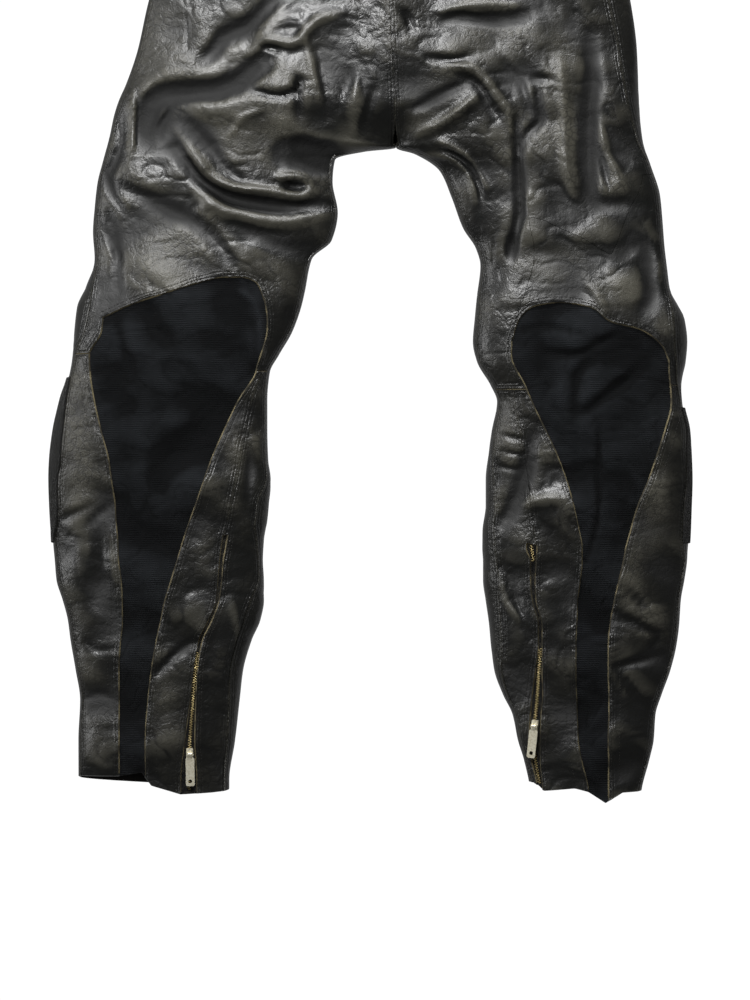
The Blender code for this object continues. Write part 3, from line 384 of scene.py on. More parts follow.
class Leg:
    def __init__(self, side):
        self.side = side
        self.hand = 1.0 if side == "left" else -1.0
        upper = np.array(upperSections[side], float)
        lower = np.array(lowerSections[side], float)
        level = lower[:, 0]
        closed = np.ones(len(level))
        outer, inner, height, edge, sideSeam = lower[:, [1, 6, 9, 10, 7]].T
        below = np.stack([outer, level, inner, level, height, edge, closed, sideSeam], 1)
        rows = np.concatenate([upper, below])
        names = ("outerX", "outerY", "innerX", "innerY", "height", "edge", "round", "sideSeam")
        self.column = dict(zip(names, rows.T))
        middle = (rows[:, :2] + rows[:, 2:4]) / 2
        self.down = np.concatenate(([0.0], np.cumsum(np.abs(np.diff(middle[:, 1])))))
        self.level = level
        self.seam = dict(zip(("knitOut", "knitIn", "zipOut", "zipIn"), lower[:, 2:6].T))
        self.innerSeam = np.concatenate([np.full(len(upper), 3.0), lower[:, 8]])

    def read(self, name, down):
        return smoothCurve(self.down, self.column[name], down)

    def turnAt(self, down):
        return math.pi * np.clip(self.read("round", down), 0.5, 1.0)

    def halfWidth(self, down):
        width = np.hypot(
            self.read("innerX", down) - self.read("outerX", down),
            self.read("innerY", down) - self.read("outerY", down),
        )
        return width / (1 - np.cos(self.turnAt(down)))

    def skin(self, down, around):
        # smooth outer face, without folds, with how much of the folds each place takes
        around = np.mod(around, 2 * math.pi)
        outer = np.stack([self.read("outerX", down), self.read("outerY", down)], -1)
        inner = np.stack([self.read("innerX", down), self.read("innerY", down)], -1)
        width = np.hypot(*np.moveaxis(inner - outer, -1, 0))
        over = around <= math.pi
        angle = np.where(over, around, 2 * math.pi - around)
        away = self.halfWidth(down) * (1 - np.cos(angle))
        place = outer + (inner - outer) / width[..., None] * away[..., None]
        edge = self.read("edge", down)
        bend = edge * section["edgeRound"]
        closing = 1 - np.sin(self.turnAt(down))
        nearOuter = np.clip(1 - away / bend, 0, 1)
        nearInner = np.clip(1 - (width - away) / bend, 0, 1)
        under = edge * (2 - np.sqrt(1 - nearOuter ** 2) - np.sqrt(1 - (nearInner * closing) ** 2))
        rise = np.sin(np.clip(angle, 0, math.pi))
        top = edge + (self.read("height", down) - edge) * rise ** section["archFullness"]
        taken = np.where(over, np.sqrt(rise), 0.0)
        return np.concatenate([place, np.where(over, top, under)[..., None]], -1), taken

    def facing(self, down, around):
        along = self.skin(down + 0.6, around)[0] - self.skin(down - 0.6, around)[0]
        across = self.skin(down, around + 0.006)[0] - self.skin(down, around - 0.006)[0]
        normal = np.cross(along, across) * self.hand
        return normal / np.linalg.norm(normal, axis=-1, keepdims=True)

    def locate(self, across, up):
        low, high = self.down[0], self.down[-1]
        for _ in range(50):
            down = (low + high) / 2
            outer = (self.read("outerX", down), self.read("outerY", down))
            inner = (self.read("innerX", down), self.read("innerY", down))
            share = (across - outer[0]) / (inner[0] - outer[0])
            if outer[1] + share * (inner[1] - outer[1]) > up:
                low = down
            else:
                high = down
        away = math.hypot(across - outer[0], up - outer[1])
        inside = (across - outer[0]) * self.hand > 0
        share = away / float(self.halfWidth(down)) if inside else 0.0
        return float(down), math.acos(max(-1.0, 1 - share))

    def downAt(self, up):
        middle = (self.column["outerY"] + self.column["innerY"]) / 2
        return float(np.interp(-up, -middle, self.down))

    def seamAngle(self, name, down):
        up = self.read("outerY", down)
        across = smoothCurve(-self.level, self.seam[name], -up)
        away = np.abs(across - self.read("outerX", down))
        return np.arccos(1 - away / self.halfWidth(down))

    def sideAngle(self, down):
        return np.arccos(1 - self.read("sideSeam", down) / self.halfWidth(down))

    def innerAngle(self, down):
        turn = self.turnAt(down)
        closed = (1 - np.sin(turn)) ** 6
        fromEdge = smoothCurve(self.down, self.innerSeam, down)
        return turn - np.arccos(1 - fromEdge / self.halfWidth(down)) * closed

    def calfEdges(self, down):
        names = ("knitOut", "knitIn", "zipOut", "zipIn")
        return [self.sideAngle(down), *(self.seamAngle(name, down) for name in names), self.innerAngle(down)]


def evenColumns(edges, counts):
    angles = [edges[0]]
    for start, end, count in zip(edges, edges[1:], counts):
        angles += [start + (end - start) * (step + 1) / count for step in range(count)]
    return angles


def backCorners(leg):
    # where each column crosses the panels' ends: waist, crotch, thigh seam, knee arch, horns, hem
    outerCount, knitCount = fineColumns[0], fineColumns[1]
    innerCount = sum(fineColumns[2:])
    total = sum(fineColumns)
    share = [0.0]
    for count, steps, weight in zip(fineColumns, blocks["columnSteps"], blocks["columns"]):
        share += [share[-1] + (step + 1) / steps for step in range(count)]
    share = np.array(share) / sum(blocks["columns"])

    def spread(first, last):
        return [float(first + (last - first) * part) for part in share]

    top = leg.downAt(section["bandBottom"])
    waist = [(top, angle) for angle in spread(leg.sideAngle(top), leg.innerAngle(top))]
    fork = float(leg.down[crotchRow])
    crotch = [(fork, angle) for angle in spread(leg.sideAngle(fork), leg.innerAngle(fork))]
    if leg.side == "right":
        seamDown, seamAngles = zip(*(leg.locate(*point) for point in thighSeam))
        first = float(leg.sideAngle(seamDown[0]))
        last = float(leg.innerAngle(seamDown[-1]))
        angles = evenColumns([first, seamAngles[-1], last], [outerCount + knitCount, innerCount])
        thigh = [(float(np.interp(angle, seamAngles, seamDown)), angle) for angle in angles]
    else:
        level = leg.downAt(thighLevel)
        thigh = [(level, angle) for angle in spread(leg.sideAngle(level), leg.innerAngle(level))]
    arch = [leg.locate(*alongPoints(kneeArch[leg.side], step / knitCount)) for step in range(knitCount + 1)]
    outerDown, outerAngle = arch[0]
    innerDown, innerAngle = arch[-1]
    outside = evenColumns([float(leg.sideAngle(outerDown)), outerAngle], [outerCount])
    inside = evenColumns([innerAngle, float(leg.innerAngle(innerDown))], [innerCount])
    knee = [(outerDown, angle) for angle in outside[:-1]]
    knee += arch
    knee += [(innerDown, angle) for angle in inside[1:]]
    hornDowns = [leg.downAt(up) for up in hornEnd[leg.side]]
    horns = []
    for index in range(total + 1):
        part = min(1.0, max(0.0, (index - outerCount) / knitCount))
        down = hornDowns[0] + (hornDowns[1] - hornDowns[0]) * part
        horns.append((down, float(evenColumns(leg.calfEdges(down), fineColumns)[index])))
    hemX, hemY = zip(*sorted(hem[leg.side]))
    lastDown = leg.downAt(min(hemY))
    last = []
    for angle in evenColumns(leg.calfEdges(lastDown), fineColumns):
        across = float(leg.skin(np.array(lastDown), np.array(angle))[0][0])
        last.append((leg.downAt(float(np.interp(across, hemX, hemY))), float(angle)))
    return waist, crotch, thigh, knee, horns, last


def backGrid(leg):
    corners = [np.array(corner) for corner in backCorners(leg)]
    rows = []
    for start, end, count in zip(corners, corners[1:], fineRows):
        rows += [start + (end - start) * step / count for step in range(count)]
    rows.append(corners[-1])
    grid = np.array(rows)
    firstCalf = sum(fineRows[:4])
    down = grid[firstCalf:, :, 0]
    calfAngles = evenColumns([np.asarray(edge) for edge in leg.calfEdges(down)], fineColumns)
    for column, angles in enumerate(calfAngles):
        grid[firstCalf:, column, 1] = angles[:, column]
    upper = grid[:firstCalf]
    ends = upper[:, [0, -1], 1].copy()
    goal = np.stack([leg.sideAngle(upper[:, 0, 0]), leg.innerAngle(upper[:, -1, 0])], 1)
    share = (upper[..., 1] - ends[:, :1]) / (ends[:, 1:] - ends[:, :1])
    upper[..., 1] = goal[:, :1] + share * (goal[:, 1:] - goal[:, :1])
    return grid


def frontGrid(leg, back):
    shares = []
    columns = blocks["frontColumns"]
    for start, end in zip(columns, columns[1:]):
        shares += [start + (end - start) * step / blocks["frontSteps"] for step in range(blocks["frontSteps"])]
    shares = np.array(shares + [1.0])
    inner, outer = back[:, -1, 0], back[:, 0, 0]
    down = inner[:, None] + (outer - inner)[:, None] * shares
    start = 2 * math.pi - 2 * leg.turnAt(down) + leg.innerAngle(down)
    end = 2 * math.pi + leg.sideAngle(down)
    return np.stack([down, start + (end - start) * shares], -1)


class Surface:
    # a grid's points on the folded cloth, with what the finishes read there
    def __init__(self, leg, grid, isBack):
        self.grid = grid
        down, around = grid[..., 0], grid[..., 1]
        smooth, taken = leg.skin(down, around)
        self.smooth = smooth
        self.normal = leg.facing(down, around)
        across, up = smooth[..., 0], smooth[..., 1]
        if isBack:
            fold = foldHeight(across, up)
            bottom = leg.read("edge", down)
            lift = (fold + crumple(across, up, 1.0)) * taken
            room = np.maximum(smooth[..., 2] - bottom * 0.55 - 3.0, 0.5)
            lift = np.where(lift < 0, -room * np.tanh(-lift / room), lift)  # never through the front
        else:
            lift = np.zeros(np.shape(across))
        self.lift = lift
        self.place = smooth + lift[..., None] * np.array((0.0, 0.0, 1.0))
        # how far each point stands above its smoothed surroundings; the finishes paint highlight on crests and shade
        # on the concave side
        self.ridge = np.clip((lift - self.blurred(lift, 60)) / 2.2, -1, 1)
        # painted shade mask: depth of the smoothed troughs, which the finishes darken toward near black
        self.hollow = np.clip(-self.blurred(lift, 4) / 5.0 - 0.15, 0, 1)
        # paler scuffing where positive, painted shade where negative
        self.wear = wearAndShadeAt(across, up) if isBack else np.zeros(np.shape(across))
        self.down = down
        steps = np.linalg.norm(np.diff(smooth, axis=1), axis=-1)
        self.along = np.concatenate([np.zeros((len(steps), 1)), np.cumsum(steps, axis=1)], 1)
        self.seam = np.full(np.shape(across), 40.0)

    def blurred(self, values, times):
        for _ in range(times):
            padded = np.pad(values, 1, mode="edge")
            values = (padded[:-2, 1:-1] + padded[2:, 1:-1] + padded[1:-1, :-2] + padded[1:-1, 2:]) / 4
        return values


def drawnBack(points, cells, amount, wider):
    # outline points moved into the panel, or a little out of it where the seam is tucked under
    padded = np.pad(cells.astype(int), 1)
    before = padded[:-1, :-1] + padded[1:, :-1], padded[:-1, :-1] + padded[:-1, 1:]
    after = padded[:-1, 1:] + padded[1:, 1:], padded[1:, :-1] + padded[1:, 1:]
    drawn = points.copy()
    for axis, less, more in ((1, before[0], after[0]), (0, before[1], after[1])):
        ahead = np.roll(points, -1, axis) - points
        behind = np.roll(points, 1, axis) - points
        step = np.where((more > less)[..., None], ahead, behind)
        seam = np.gradient(points, axis=1 - axis)
        seam /= np.linalg.norm(seam, axis=-1, keepdims=True) + 1e-9
        step = step - seam * np.sum(seam * step, axis=-1, keepdims=True)
        reach = np.linalg.norm(step, axis=-1, keepdims=True)
        move = np.minimum(amount + wider[..., None], reach * 0.45)
        drawn += np.where((more != less)[..., None], step / (reach + 1e-9) * move, 0.0)
    return drawn


def finishObject(name, mesh, materials, smooth=True):
    if mesh.calc_volume(signed=True) < 0:
        bmesh.ops.reverse_faces(mesh, faces=mesh.faces)
    data = bpy.data.meshes.new(name)
    mesh.to_mesh(data)
    mesh.free()
    for material in materials:
        data.materials.append(material)
    if smooth:
        data.shade_smooth()
        data.set_sharp_from_angle(angle=math.radians(55))
    item = bpy.data.objects.new(name, data)
    bpy.context.scene.collection.objects.link(item)
    return item


def makePanel(name, surface, cells, thickness, sunk, materials, rawWhere=None):
    # closed wall over the chosen cells; materials are face, raw edge and lining
    rows, columns = cells.shape
    used = np.argwhere(cells)
    (top, left), (bottom, right) = used.min(axis=0), used.max(axis=0) + 1
    sub = cells[top:bottom, left:right]
    wider = np.zeros((rows + 1, columns + 1))
    if rawWhere is not None:
        wider = rawWhere * cloth["rawEdge"]
    points = surface.place - surface.normal * sunk
    outer = drawnBack(points, cells, cloth["seamGap"] / 2, wider)
    inner = drawnBack(points - surface.normal * thickness, cells, -cloth["seamTuck"], wider * 0)
    mesh = bmesh.new()
    names = ("ridge", "hollow", "wear", "seam", "along", "lengthDown", "raw")
    keys = {key: mesh.verts.layers.float.new(key) for key in names}
    bmesh.ops.create_grid(mesh, x_segments=right - left, y_segments=bottom - top, size=1.0)
    wide, high = right - left, bottom - top
    absent = []
    for face in mesh.faces:
        middle = face.calc_center_median()
        if not sub[int((middle.y + 1) / 2 * high), int((middle.x + 1) / 2 * wide)]:
            absent.append(face)
    bmesh.ops.delete(mesh, geom=absent, context="FACES")
    for face in mesh.faces:
        face.material_index = 0
    moved = bmesh.ops.extrude_face_region(mesh, geom=mesh.faces[:])
    second = set()
    for part in moved["geom"]:
        if isinstance(part, bmesh.types.BMVert):
            second.add(part)
        elif isinstance(part, bmesh.types.BMFace):
            part.material_index = 2
    for point in mesh.verts:
        column = left + round((point.co.x + 1) / 2 * wide)
        row = top + round((point.co.y + 1) / 2 * high)
        layer = inner if point in second else outer
        point[keys["ridge"]] = surface.ridge[row, column]
        point[keys["hollow"]] = surface.hollow[row, column]
        point[keys["wear"]] = surface.wear[row, column]
        point[keys["seam"]] = surface.seam[row, column]
        point[keys["along"]] = surface.along[row, column]
        point[keys["lengthDown"]] = surface.down[row, column]
        point[keys["raw"]] = 0.0 if rawWhere is None else rawWhere[row, column]
        point.co = Vector(layer[row, column]) * mm
    for face in mesh.faces:
        inSecond = sum(point in second for point in face.verts)
        if 0 < inSecond < len(face.verts):
            rim = sum(point[keys["raw"]] for point in face.verts) / len(face.verts)
            face.material_index = 1 if rim > 0.5 else 0
    item = finishObject(name, mesh, materials)
    across = surface.along[top:bottom + 1, left:right + 1]
    smooth = surface.smooth[top:bottom + 1, left:right + 1]
    sideA = smooth[1:, :-1] - smooth[:-1, :-1]
    sideB = smooth[:-1, 1:] - smooth[:-1, :-1]
    areas = np.linalg.norm(np.cross(sideA, sideB), axis=-1) * sub
    widest = float(max(np.ptp(line[np.append(keep, False) | np.append(False, keep)])
                       for line, keep in zip(across, sub) if keep.any()))
    longest = float(max(np.ptp(surface.down[top:bottom + 1, left + column][
        np.append(sub[:, column], False) | np.append(False, sub[:, column])])
        for column in range(wide) if sub[:, column].any()))
    return item, (widest * mm, longest * mm, float(areas.sum()) * mm * mm)


def declareCloth(item, node):
    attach(item, "garment")
    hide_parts(node)


# Finishes

class Value:
    # a node socket that can be used in sums
    def __init__(self, finish, socket):
        self.finish = finish
        self.socket = socket

    def sum(self, operation, *others):
        node = self.finish.node("ShaderNodeMath", {"operation": operation}, [self, *others])
        return Value(self.finish, node.outputs[0])

    def __add__(self, other):
        return self.sum("ADD", other)

    def __sub__(self, other):
        return self.sum("SUBTRACT", other)

    def __mul__(self, other):
        return self.sum("MULTIPLY", other)

    def __truediv__(self, other):
        return self.sum("DIVIDE", other)

    def __pow__(self, other):
        return self.sum("POWER", other)

    def __rsub__(self, other):
        node = self.finish.node("ShaderNodeMath", {"operation": "SUBTRACT"}, [other, self])
        return Value(self.finish, node.outputs[0])

    __radd__ = __add__
    __rmul__ = __mul__

    def clipped(self, low=0.0, high=1.0):
        return self.sum("MAXIMUM", low).sum("MINIMUM", high)

    def step(self, low, high):
        settings = {"interpolation_type": "SMOOTHSTEP"}
        node = self.finish.node("ShaderNodeMapRange", settings, [self, low, high])
        return Value(self.finish, node.outputs[0])


class Finish:
    def __init__(self, name, constants):
        self.material = bpy.data.materials.new(name)
        self.material.use_nodes = True
        self.tree = self.material.node_tree
        self.shader = self.tree.nodes["Principled BSDF"]
        for key, value in constants.items():
            self.shader.inputs[key].default_value = value

    def node(self, kind, settings=None, inputs=()):
        # inputs is a list in socket order or a dictionary by socket name or number
        item = self.tree.nodes.new(kind)
        for key, value in (settings or {}).items():
            if key == "stops":
                self.setStops(item, value)
            else:
                setattr(item, key, value)
        pairs = inputs.items() if isinstance(inputs, dict) else enumerate(inputs)
        for key, value in pairs:
            self.give(item.inputs[key], value)
        return item

    def setStops(self, item, stops):
        ramp = item.color_ramp
        while len(ramp.elements) < len(stops):
            ramp.elements.new(0.5)
        for element, (at, colour) in zip(ramp.elements, stops):
            element.position = at
            element.color = (*colour, 1.0)

    def give(self, socket, value):
        if isinstance(value, Value):
            value = value.socket
        if isinstance(value, bpy.types.NodeSocket):
            self.tree.links.new(value, socket)
        else:
            socket.default_value = value

    def number(self, kind, settings=None, inputs=(), output=0):
        return Value(self, self.node(kind, settings, inputs).outputs[output])

    def attribute(self, name):
        return self.number("ShaderNodeAttribute", {"attribute_name": name}, output="Fac")

    def place(self, scale=(1.0, 1.0, 1.0)):
        where = self.node("ShaderNodeTexCoord").outputs["Object"]
        settings = {"operation": "MULTIPLY"}
        return self.node("ShaderNodeVectorMath", settings, [where, scale]).outputs[0]

    def noise(self, vector, scale, detail=2.0, rough=0.5, warp=0.0):
        sockets = {"Vector": vector, "Scale": scale, "Detail": detail, "Roughness": rough, "Distortion": warp}
        return self.number("ShaderNodeTexNoise", None, sockets, "Fac")

    def cells(self, vector, scale, feature="F1", spread=1.0):
        sockets = {"Vector": vector, "Scale": scale, "Randomness": spread}
        return self.number("ShaderNodeTexVoronoi", {"feature": feature}, sockets, "Distance")

    def mix(self, share, first, second):
        sockets = {0: share, 6: self.colour(first), 7: self.colour(second)}
        return self.node("ShaderNodeMix", {"data_type": "RGBA"}, sockets).outputs[2]

    def colour(self, value):
        return (*value, 1.0) if isinstance(value, tuple) else value

    def moved(self, vector, amount, by):
        # the vector pushed about by a noise
        pushed = self.node("ShaderNodeVectorMath", {"operation": "SCALE"}, {0: by, 3: amount}).outputs[0]
        return self.node("ShaderNodeVectorMath", {"operation": "ADD"}, [vector, pushed]).outputs[0]

    def finish(self, colour, roughness, height=None, bumpStrength=1.0):
        self.give(self.shader.inputs["Base Color"], self.colour(colour))
        self.give(self.shader.inputs["Roughness"], roughness)
        if height is not None:
            sockets = {"Strength": bumpStrength, "Distance": mm, "Height": height}
            bump = self.node("ShaderNodeBump", None, sockets)
            self.tree.links.new(bump.outputs[0], self.shader.inputs["Normal"])
        return self.material


# The second and third colours are paler scuffing together with painted highlight on fold crests; the fourth is
# near-black painted shade for creases and troughs.
leatherLook = {
    "black": (0.0028, 0.003, 0.0026),
    "wornAndPaintedLight": (0.026, 0.0245, 0.018),
    "rubbedAndPaintedHighlight": (0.12, 0.114, 0.09),
    "hollow": (0.0012, 0.0013, 0.0011),
    "rawEdge": (0.25, 0.21, 0.12),
    "lining": (0.012, 0.012, 0.012),
    "grainSize": 1.5,
    "creaseSize": 9.0,
    "rowsFromSeam": (3.0, 6.4),
}


def leatherFinish(name, look, shine=0.33):
    finish = Finish(name, {"IOR": 1.5, "Specular IOR Level": 0.62})
    where = finish.place((1000.0, 1000.0, 1000.0))
    ridge = finish.attribute("ridge")
    hollow = finish.attribute("hollow")
    wear = finish.attribute("wear")
    seam = finish.attribute("seam")
    push = finish.node("ShaderNodeTexNoise", None, {"Vector": where, "Scale": 0.07, "Detail": 3.0}).outputs["Color"]
    bent = finish.moved(where, 9.0, push)
    grain = finish.cells(where, 1 / look["grainSize"])
    lines = finish.cells(bent, 1 / look["creaseSize"], "DISTANCE_TO_EDGE")
    wrinkle = finish.noise(bent, 0.085, 3.0, 0.5, 0.4)
    patches = finish.noise(where, 0.014, 4.0, 0.6, 0.4)
    pores = finish.noise(where, 0.9, 2.0, 0.6)
    creased = (1 - lines.step(0.0, 0.2)) * patches.step(0.4, 0.62)
    first, second = look["rowsFromSeam"]
    rowA = 1 - ((seam - first).sum("ABSOLUTE")).step(0.0, 1.1)
    rowB = 1 - ((seam - second).sum("ABSOLUTE")).step(0.0, 1.1)
    pucker = finish.noise(where, 0.22, 2.0) * (1 - seam.step(2.0, 13.0))
    # paler scuffing and random tone, with painted highlight on fold crests and painted shade where the scuff patches
    # are negative
    wornAndPaintedLight = (wear * 0.75 + (patches - 0.5) * 1.2 + ridge * 0.35 + 0.12).clipped()
    height = grain * (wornAndPaintedLight * 0.16 + 0.05) + pores * 0.06 + wrinkle * 0.9 + pucker * 1.1
    height = height - creased * 0.14 - (rowA + rowB * 0.5) * 0.35
    # painted highlight on fold crests, and paler scuffing where the scuff patches are strong
    rubbedAndPaintedHighlight = ((ridge - 0.2).clipped() * 0.7 + (wear - 0.3).clipped() * pores.step(0.35, 0.65)).clipped()
    edgeShare = (1 - seam.step(0.4, 2.2)) * pores.step(0.4, 0.7) * 0.4
    colour = finish.mix(wornAndPaintedLight, look["black"], look["wornAndPaintedLight"])
    colour = finish.mix((rubbedAndPaintedHighlight * 0.6 + edgeShare).clipped(), colour, look["rubbedAndPaintedHighlight"])
    # painted shade: creases, the concave side of folds and the troughs are darkened toward near black
    dark = (creased * 0.5 + (0 - ridge).clipped() * 0.5 + hollow).clipped()
    colour = finish.mix(dark, colour, look["hollow"])
    roughness = shine + (pores - 0.5) * 0.14 + wornAndPaintedLight * 0.12 + hollow * 0.5 - wear.sum("MINIMUM", 0.0) * 0.12
    return finish.finish(colour, roughness.clipped(0.2, 0.9), height)


def rawEdgeFinish(look):
    finish = Finish("raw_edge", {"Specular IOR Level": 0.3})
    where = finish.place((1000.0, 1000.0, 1000.0))
    fibres = finish.noise(where, 1.1, 4.0, 0.7)
    stain = finish.noise(where, 0.05, 3.0)
    colour = finish.mix(fibres.step(0.3, 0.75), (0.05, 0.042, 0.022), look["rawEdge"])
    colour = finish.mix(stain.step(0.42, 0.6) * 0.85, colour, (0.015, 0.013, 0.009))
    return finish.finish(colour, 0.8, fibres * 0.4)


def liningFinish(look):
    finish = Finish("lining", {"Specular IOR Level": 0.2})
    where = finish.place((1000.0, 1000.0, 1000.0))
    nap = finish.noise(where, 0.8, 4.0, 0.7)
    colour = finish.mix(nap, look["lining"], (0.03, 0.028, 0.025))
    return finish.finish(colour, 0.9, nap * 0.4)


knitLook = {"dark": (0.0015, 0.0018, 0.0022), "light": (0.012, 0.0135, 0.0155), "rib": 2.5, "wale": 1.8}


def knitFinish(look):
    finish = Finish("rib_knit_cloth", {"Specular IOR Level": 0.12, "Sheen Weight": 0.06, "Sheen Roughness": 0.5})
    where = finish.place((1000.0, 1000.0, 1000.0))
    down = finish.attribute("lengthDown")
    across = finish.attribute("along")
    ridge = finish.attribute("ridge")
    wander = finish.noise(where, 0.05, 2.0) * 3.0
    rib = ((down + wander) * (2 * math.pi / look["rib"])).sum("SINE") * 0.5 + 0.5
    wale = (across * (2 * math.pi / look["wale"])).sum("SINE") * 0.5 + 0.5
    fuzz = finish.noise(where, 1.2, 3.0, 0.7)
    stretch = finish.noise(where, 0.02, 3.0)
    broken = finish.noise(where, 0.09, 2.0)
    loops = rib * (wale * 0.35 + 0.65) * broken.step(0.3, 0.6)
    hollow = finish.attribute("hollow")
    # the knit's loops and random tone, with painted highlight on fold crests and painted shade in troughs
    shade = (loops * 0.35 + (fuzz - 0.5) * 0.5 + (stretch - 0.5) * 1.2 + 0.25 + ridge * 0.5 - hollow * 0.8).clipped()
    colour = finish.mix(shade, look["dark"], look["light"])
    return finish.finish(colour, 0.93, loops * 0.45 + fuzz * 0.3)


def pileFinish():
    finish = Finish("hook_and_loop_pile", {"Specular IOR Level": 0.15, "Sheen Weight": 0.1})
    where = finish.place((1000.0, 1000.0, 1000.0))
    tufts = finish.cells(where, 0.8)
    fuzz = finish.noise(where, 1.6, 4.0, 0.8)
    colour = finish.mix(fuzz.step(0.4, 0.75), (0.003, 0.003, 0.003), (0.02, 0.02, 0.018))
    return finish.finish(colour, 0.96, tufts * 1.0 + fuzz * 0.8)


def tapeFinish():
    finish = Finish("zip_tape_weave", {"Specular IOR Level": 0.2})
    where = finish.place((1000.0, 1000.0, 1000.0))
    down = finish.attribute("lengthDown")
    across = finish.attribute("along")
    weave = (down * 5.2).sum("SINE") * (across * 5.2).sum("SINE")
    dust = finish.noise(where, 0.2, 3.0)
    colour = finish.mix(dust.step(0.4, 0.8), (0.006, 0.006, 0.006), (0.03, 0.027, 0.02))
    return finish.finish(colour, 0.85, weave * 0.25)


metalLook = {"bright": (0.95, 0.91, 0.74), "dull": (0.6, 0.53, 0.37), "teeth": (0.5, 0.41, 0.2)}


def metalFinish(name, bright, dull, metallic=1.0):
    finish = Finish(name, {"Metallic": metallic})
    where = finish.place((1000.0, 1000.0, 1000.0))
    tarnish = finish.noise(where, 0.45, 4.0, 0.65)
    scratch = finish.noise(finish.place((900.0, 120.0, 900.0)), 1.0, 3.0, 0.6)
    colour = finish.mix(tarnish.step(0.35, 0.7) * 0.75, bright, dull)
    return finish.finish(colour, (0.3 + tarnish * 0.22).clipped(), scratch * 0.1)


def threadFinish():
    finish = Finish("seam_thread", {"Specular IOR Level": 0.35})
    where = finish.place((1000.0, 1000.0, 1000.0))
    twist = finish.noise(where, 2.4, 2.0)
    colour = finish.mix(twist, (0.004, 0.004, 0.004), (0.026, 0.024, 0.02))
    return finish.finish(colour, 0.62, twist * 0.2)


finishes = {
    "leather": leatherFinish("worn_black_leather", leatherLook),
    "raw": rawEdgeFinish(leatherLook),
    "lining": liningFinish(leatherLook),
    "knit": knitFinish(knitLook),
    "patch": pileFinish(),
    "tape": tapeFinish(),
    "metal": metalFinish("pale_zip_metal", metalLook["bright"], metalLook["dull"], 0.6),
    "teeth": metalFinish("zip_teeth_brass", metalLook["teeth"], (0.2, 0.14, 0.06)),
    "thread": threadFinish(),
}
leatherLayers = (finishes["leather"], finishes["raw"], finishes["lining"])
print("finishes made")


def chosen(shape, rowRange, columnRange):
    cells = np.zeros(shape, bool)
    cells[rowRange[0]:rowRange[1], columnRange[0]:columnRange[1]] = True
    return cells


def tucked(cells):
    # the cells and their neighbours, for cloth that runs on under the leather
    padded = np.pad(cells, 1)
    wider = padded[1:-1, 1:-1] | padded[:-2, 1:-1] | padded[1:-1, :-2] | padded[1:-1, 2:]
    return wider | np.pad(cells, 1)[2:, 1:-1]


def besideOf(cells):
    # grid points on the outline of some cells
    padded = np.pad(cells.astype(int), 1)
    around = padded[:-1, :-1] + padded[1:, :-1] + padded[:-1, 1:] + padded[1:, 1:]
    return (around > 0) & (around < 4)


def seamDistance(surface, lines):
    # distance of each point from the nearest seam
    total = sum(len(line) for line in lines)
    tree = kdtree.KDTree(total)
    number = 0
    for line in lines:
        for point in line:
            tree.insert(Vector(point), number)
            number += 1
    tree.balance()
    flat = surface.smooth.reshape(-1, 3)
    found = np.array([tree.find(Vector(point))[2] for point in flat])
    surface.seam = np.minimum(found, 40.0).reshape(surface.seam.shape)


def dense(points):
    # a row of grid points filled in to about a millimetre apart
    points = np.asarray(points)
    steps = np.linalg.norm(np.diff(points, axis=0), axis=1)
    knots = np.concatenate(([0.0], np.cumsum(steps)))
    at = np.arange(0, knots[-1], 1.0)
    return np.stack([np.interp(at, knots, points[:, axis]) for axis in range(3)], 1)


stitching = {
    "length": 2.5,
    "pitch": 3.7,
    "width": 0.75,
    "height": 0.55,
    "sunk": 0.1,
    "centre": {"left": (3.0,), "right": (3.0, 11.0)},
}


class Thread:
    # every stitch of a leg, as one mesh
    def __init__(self):
        self.mesh = bmesh.new()
        self.count = 0

    def row(self, points, normals):
        # each row starts as its own small mesh, because a growing one gets slow
        part = bmesh.new()
        steps = np.linalg.norm(np.diff(points, axis=0), axis=1)
        knots = np.concatenate(([0.0], np.cumsum(steps)))
        for at in np.arange(stitching["pitch"], knots[-1] - stitching["pitch"], stitching["pitch"]):
            place = Vector([np.interp(at, knots, points[:, axis]) for axis in range(3)])
            ahead = Vector([np.interp(at + 1.0, knots, points[:, axis]) for axis in range(3)])
            out = Vector([np.interp(at, knots, normals[:, axis]) for axis in range(3)]).normalized()
            along = (ahead - place).normalized()
            aside = out.cross(along).normalized()
            out = along.cross(aside).normalized()
            turn = Matrix((aside, along, out)).transposed().to_4x4()
            size = Matrix.Diagonal((stitching["width"], stitching["length"], stitching["height"] * 2, 1.0))
            matrix = Matrix.Scale(mm, 4) @ Matrix.Translation(place - out * stitching["sunk"]) @ turn @ size
            bmesh.ops.create_uvsphere(part, u_segments=6, v_segments=4, radius=0.5, matrix=matrix)
            self.count += 1
        data = bpy.data.meshes.new("row")
        part.to_mesh(data)
        part.free()
        self.mesh.from_mesh(data)
        bpy.data.meshes.remove(data)


def surfaceNormals(place, hand):
    # normals of the folded surface at every grid point
    rowStep = np.gradient(place, axis=0)
    columnStep = np.gradient(place, axis=1)
    normal = np.cross(rowStep, columnStep) * hand
    return normal / (np.linalg.norm(normal, axis=-1, keepdims=True) + 1e-9)


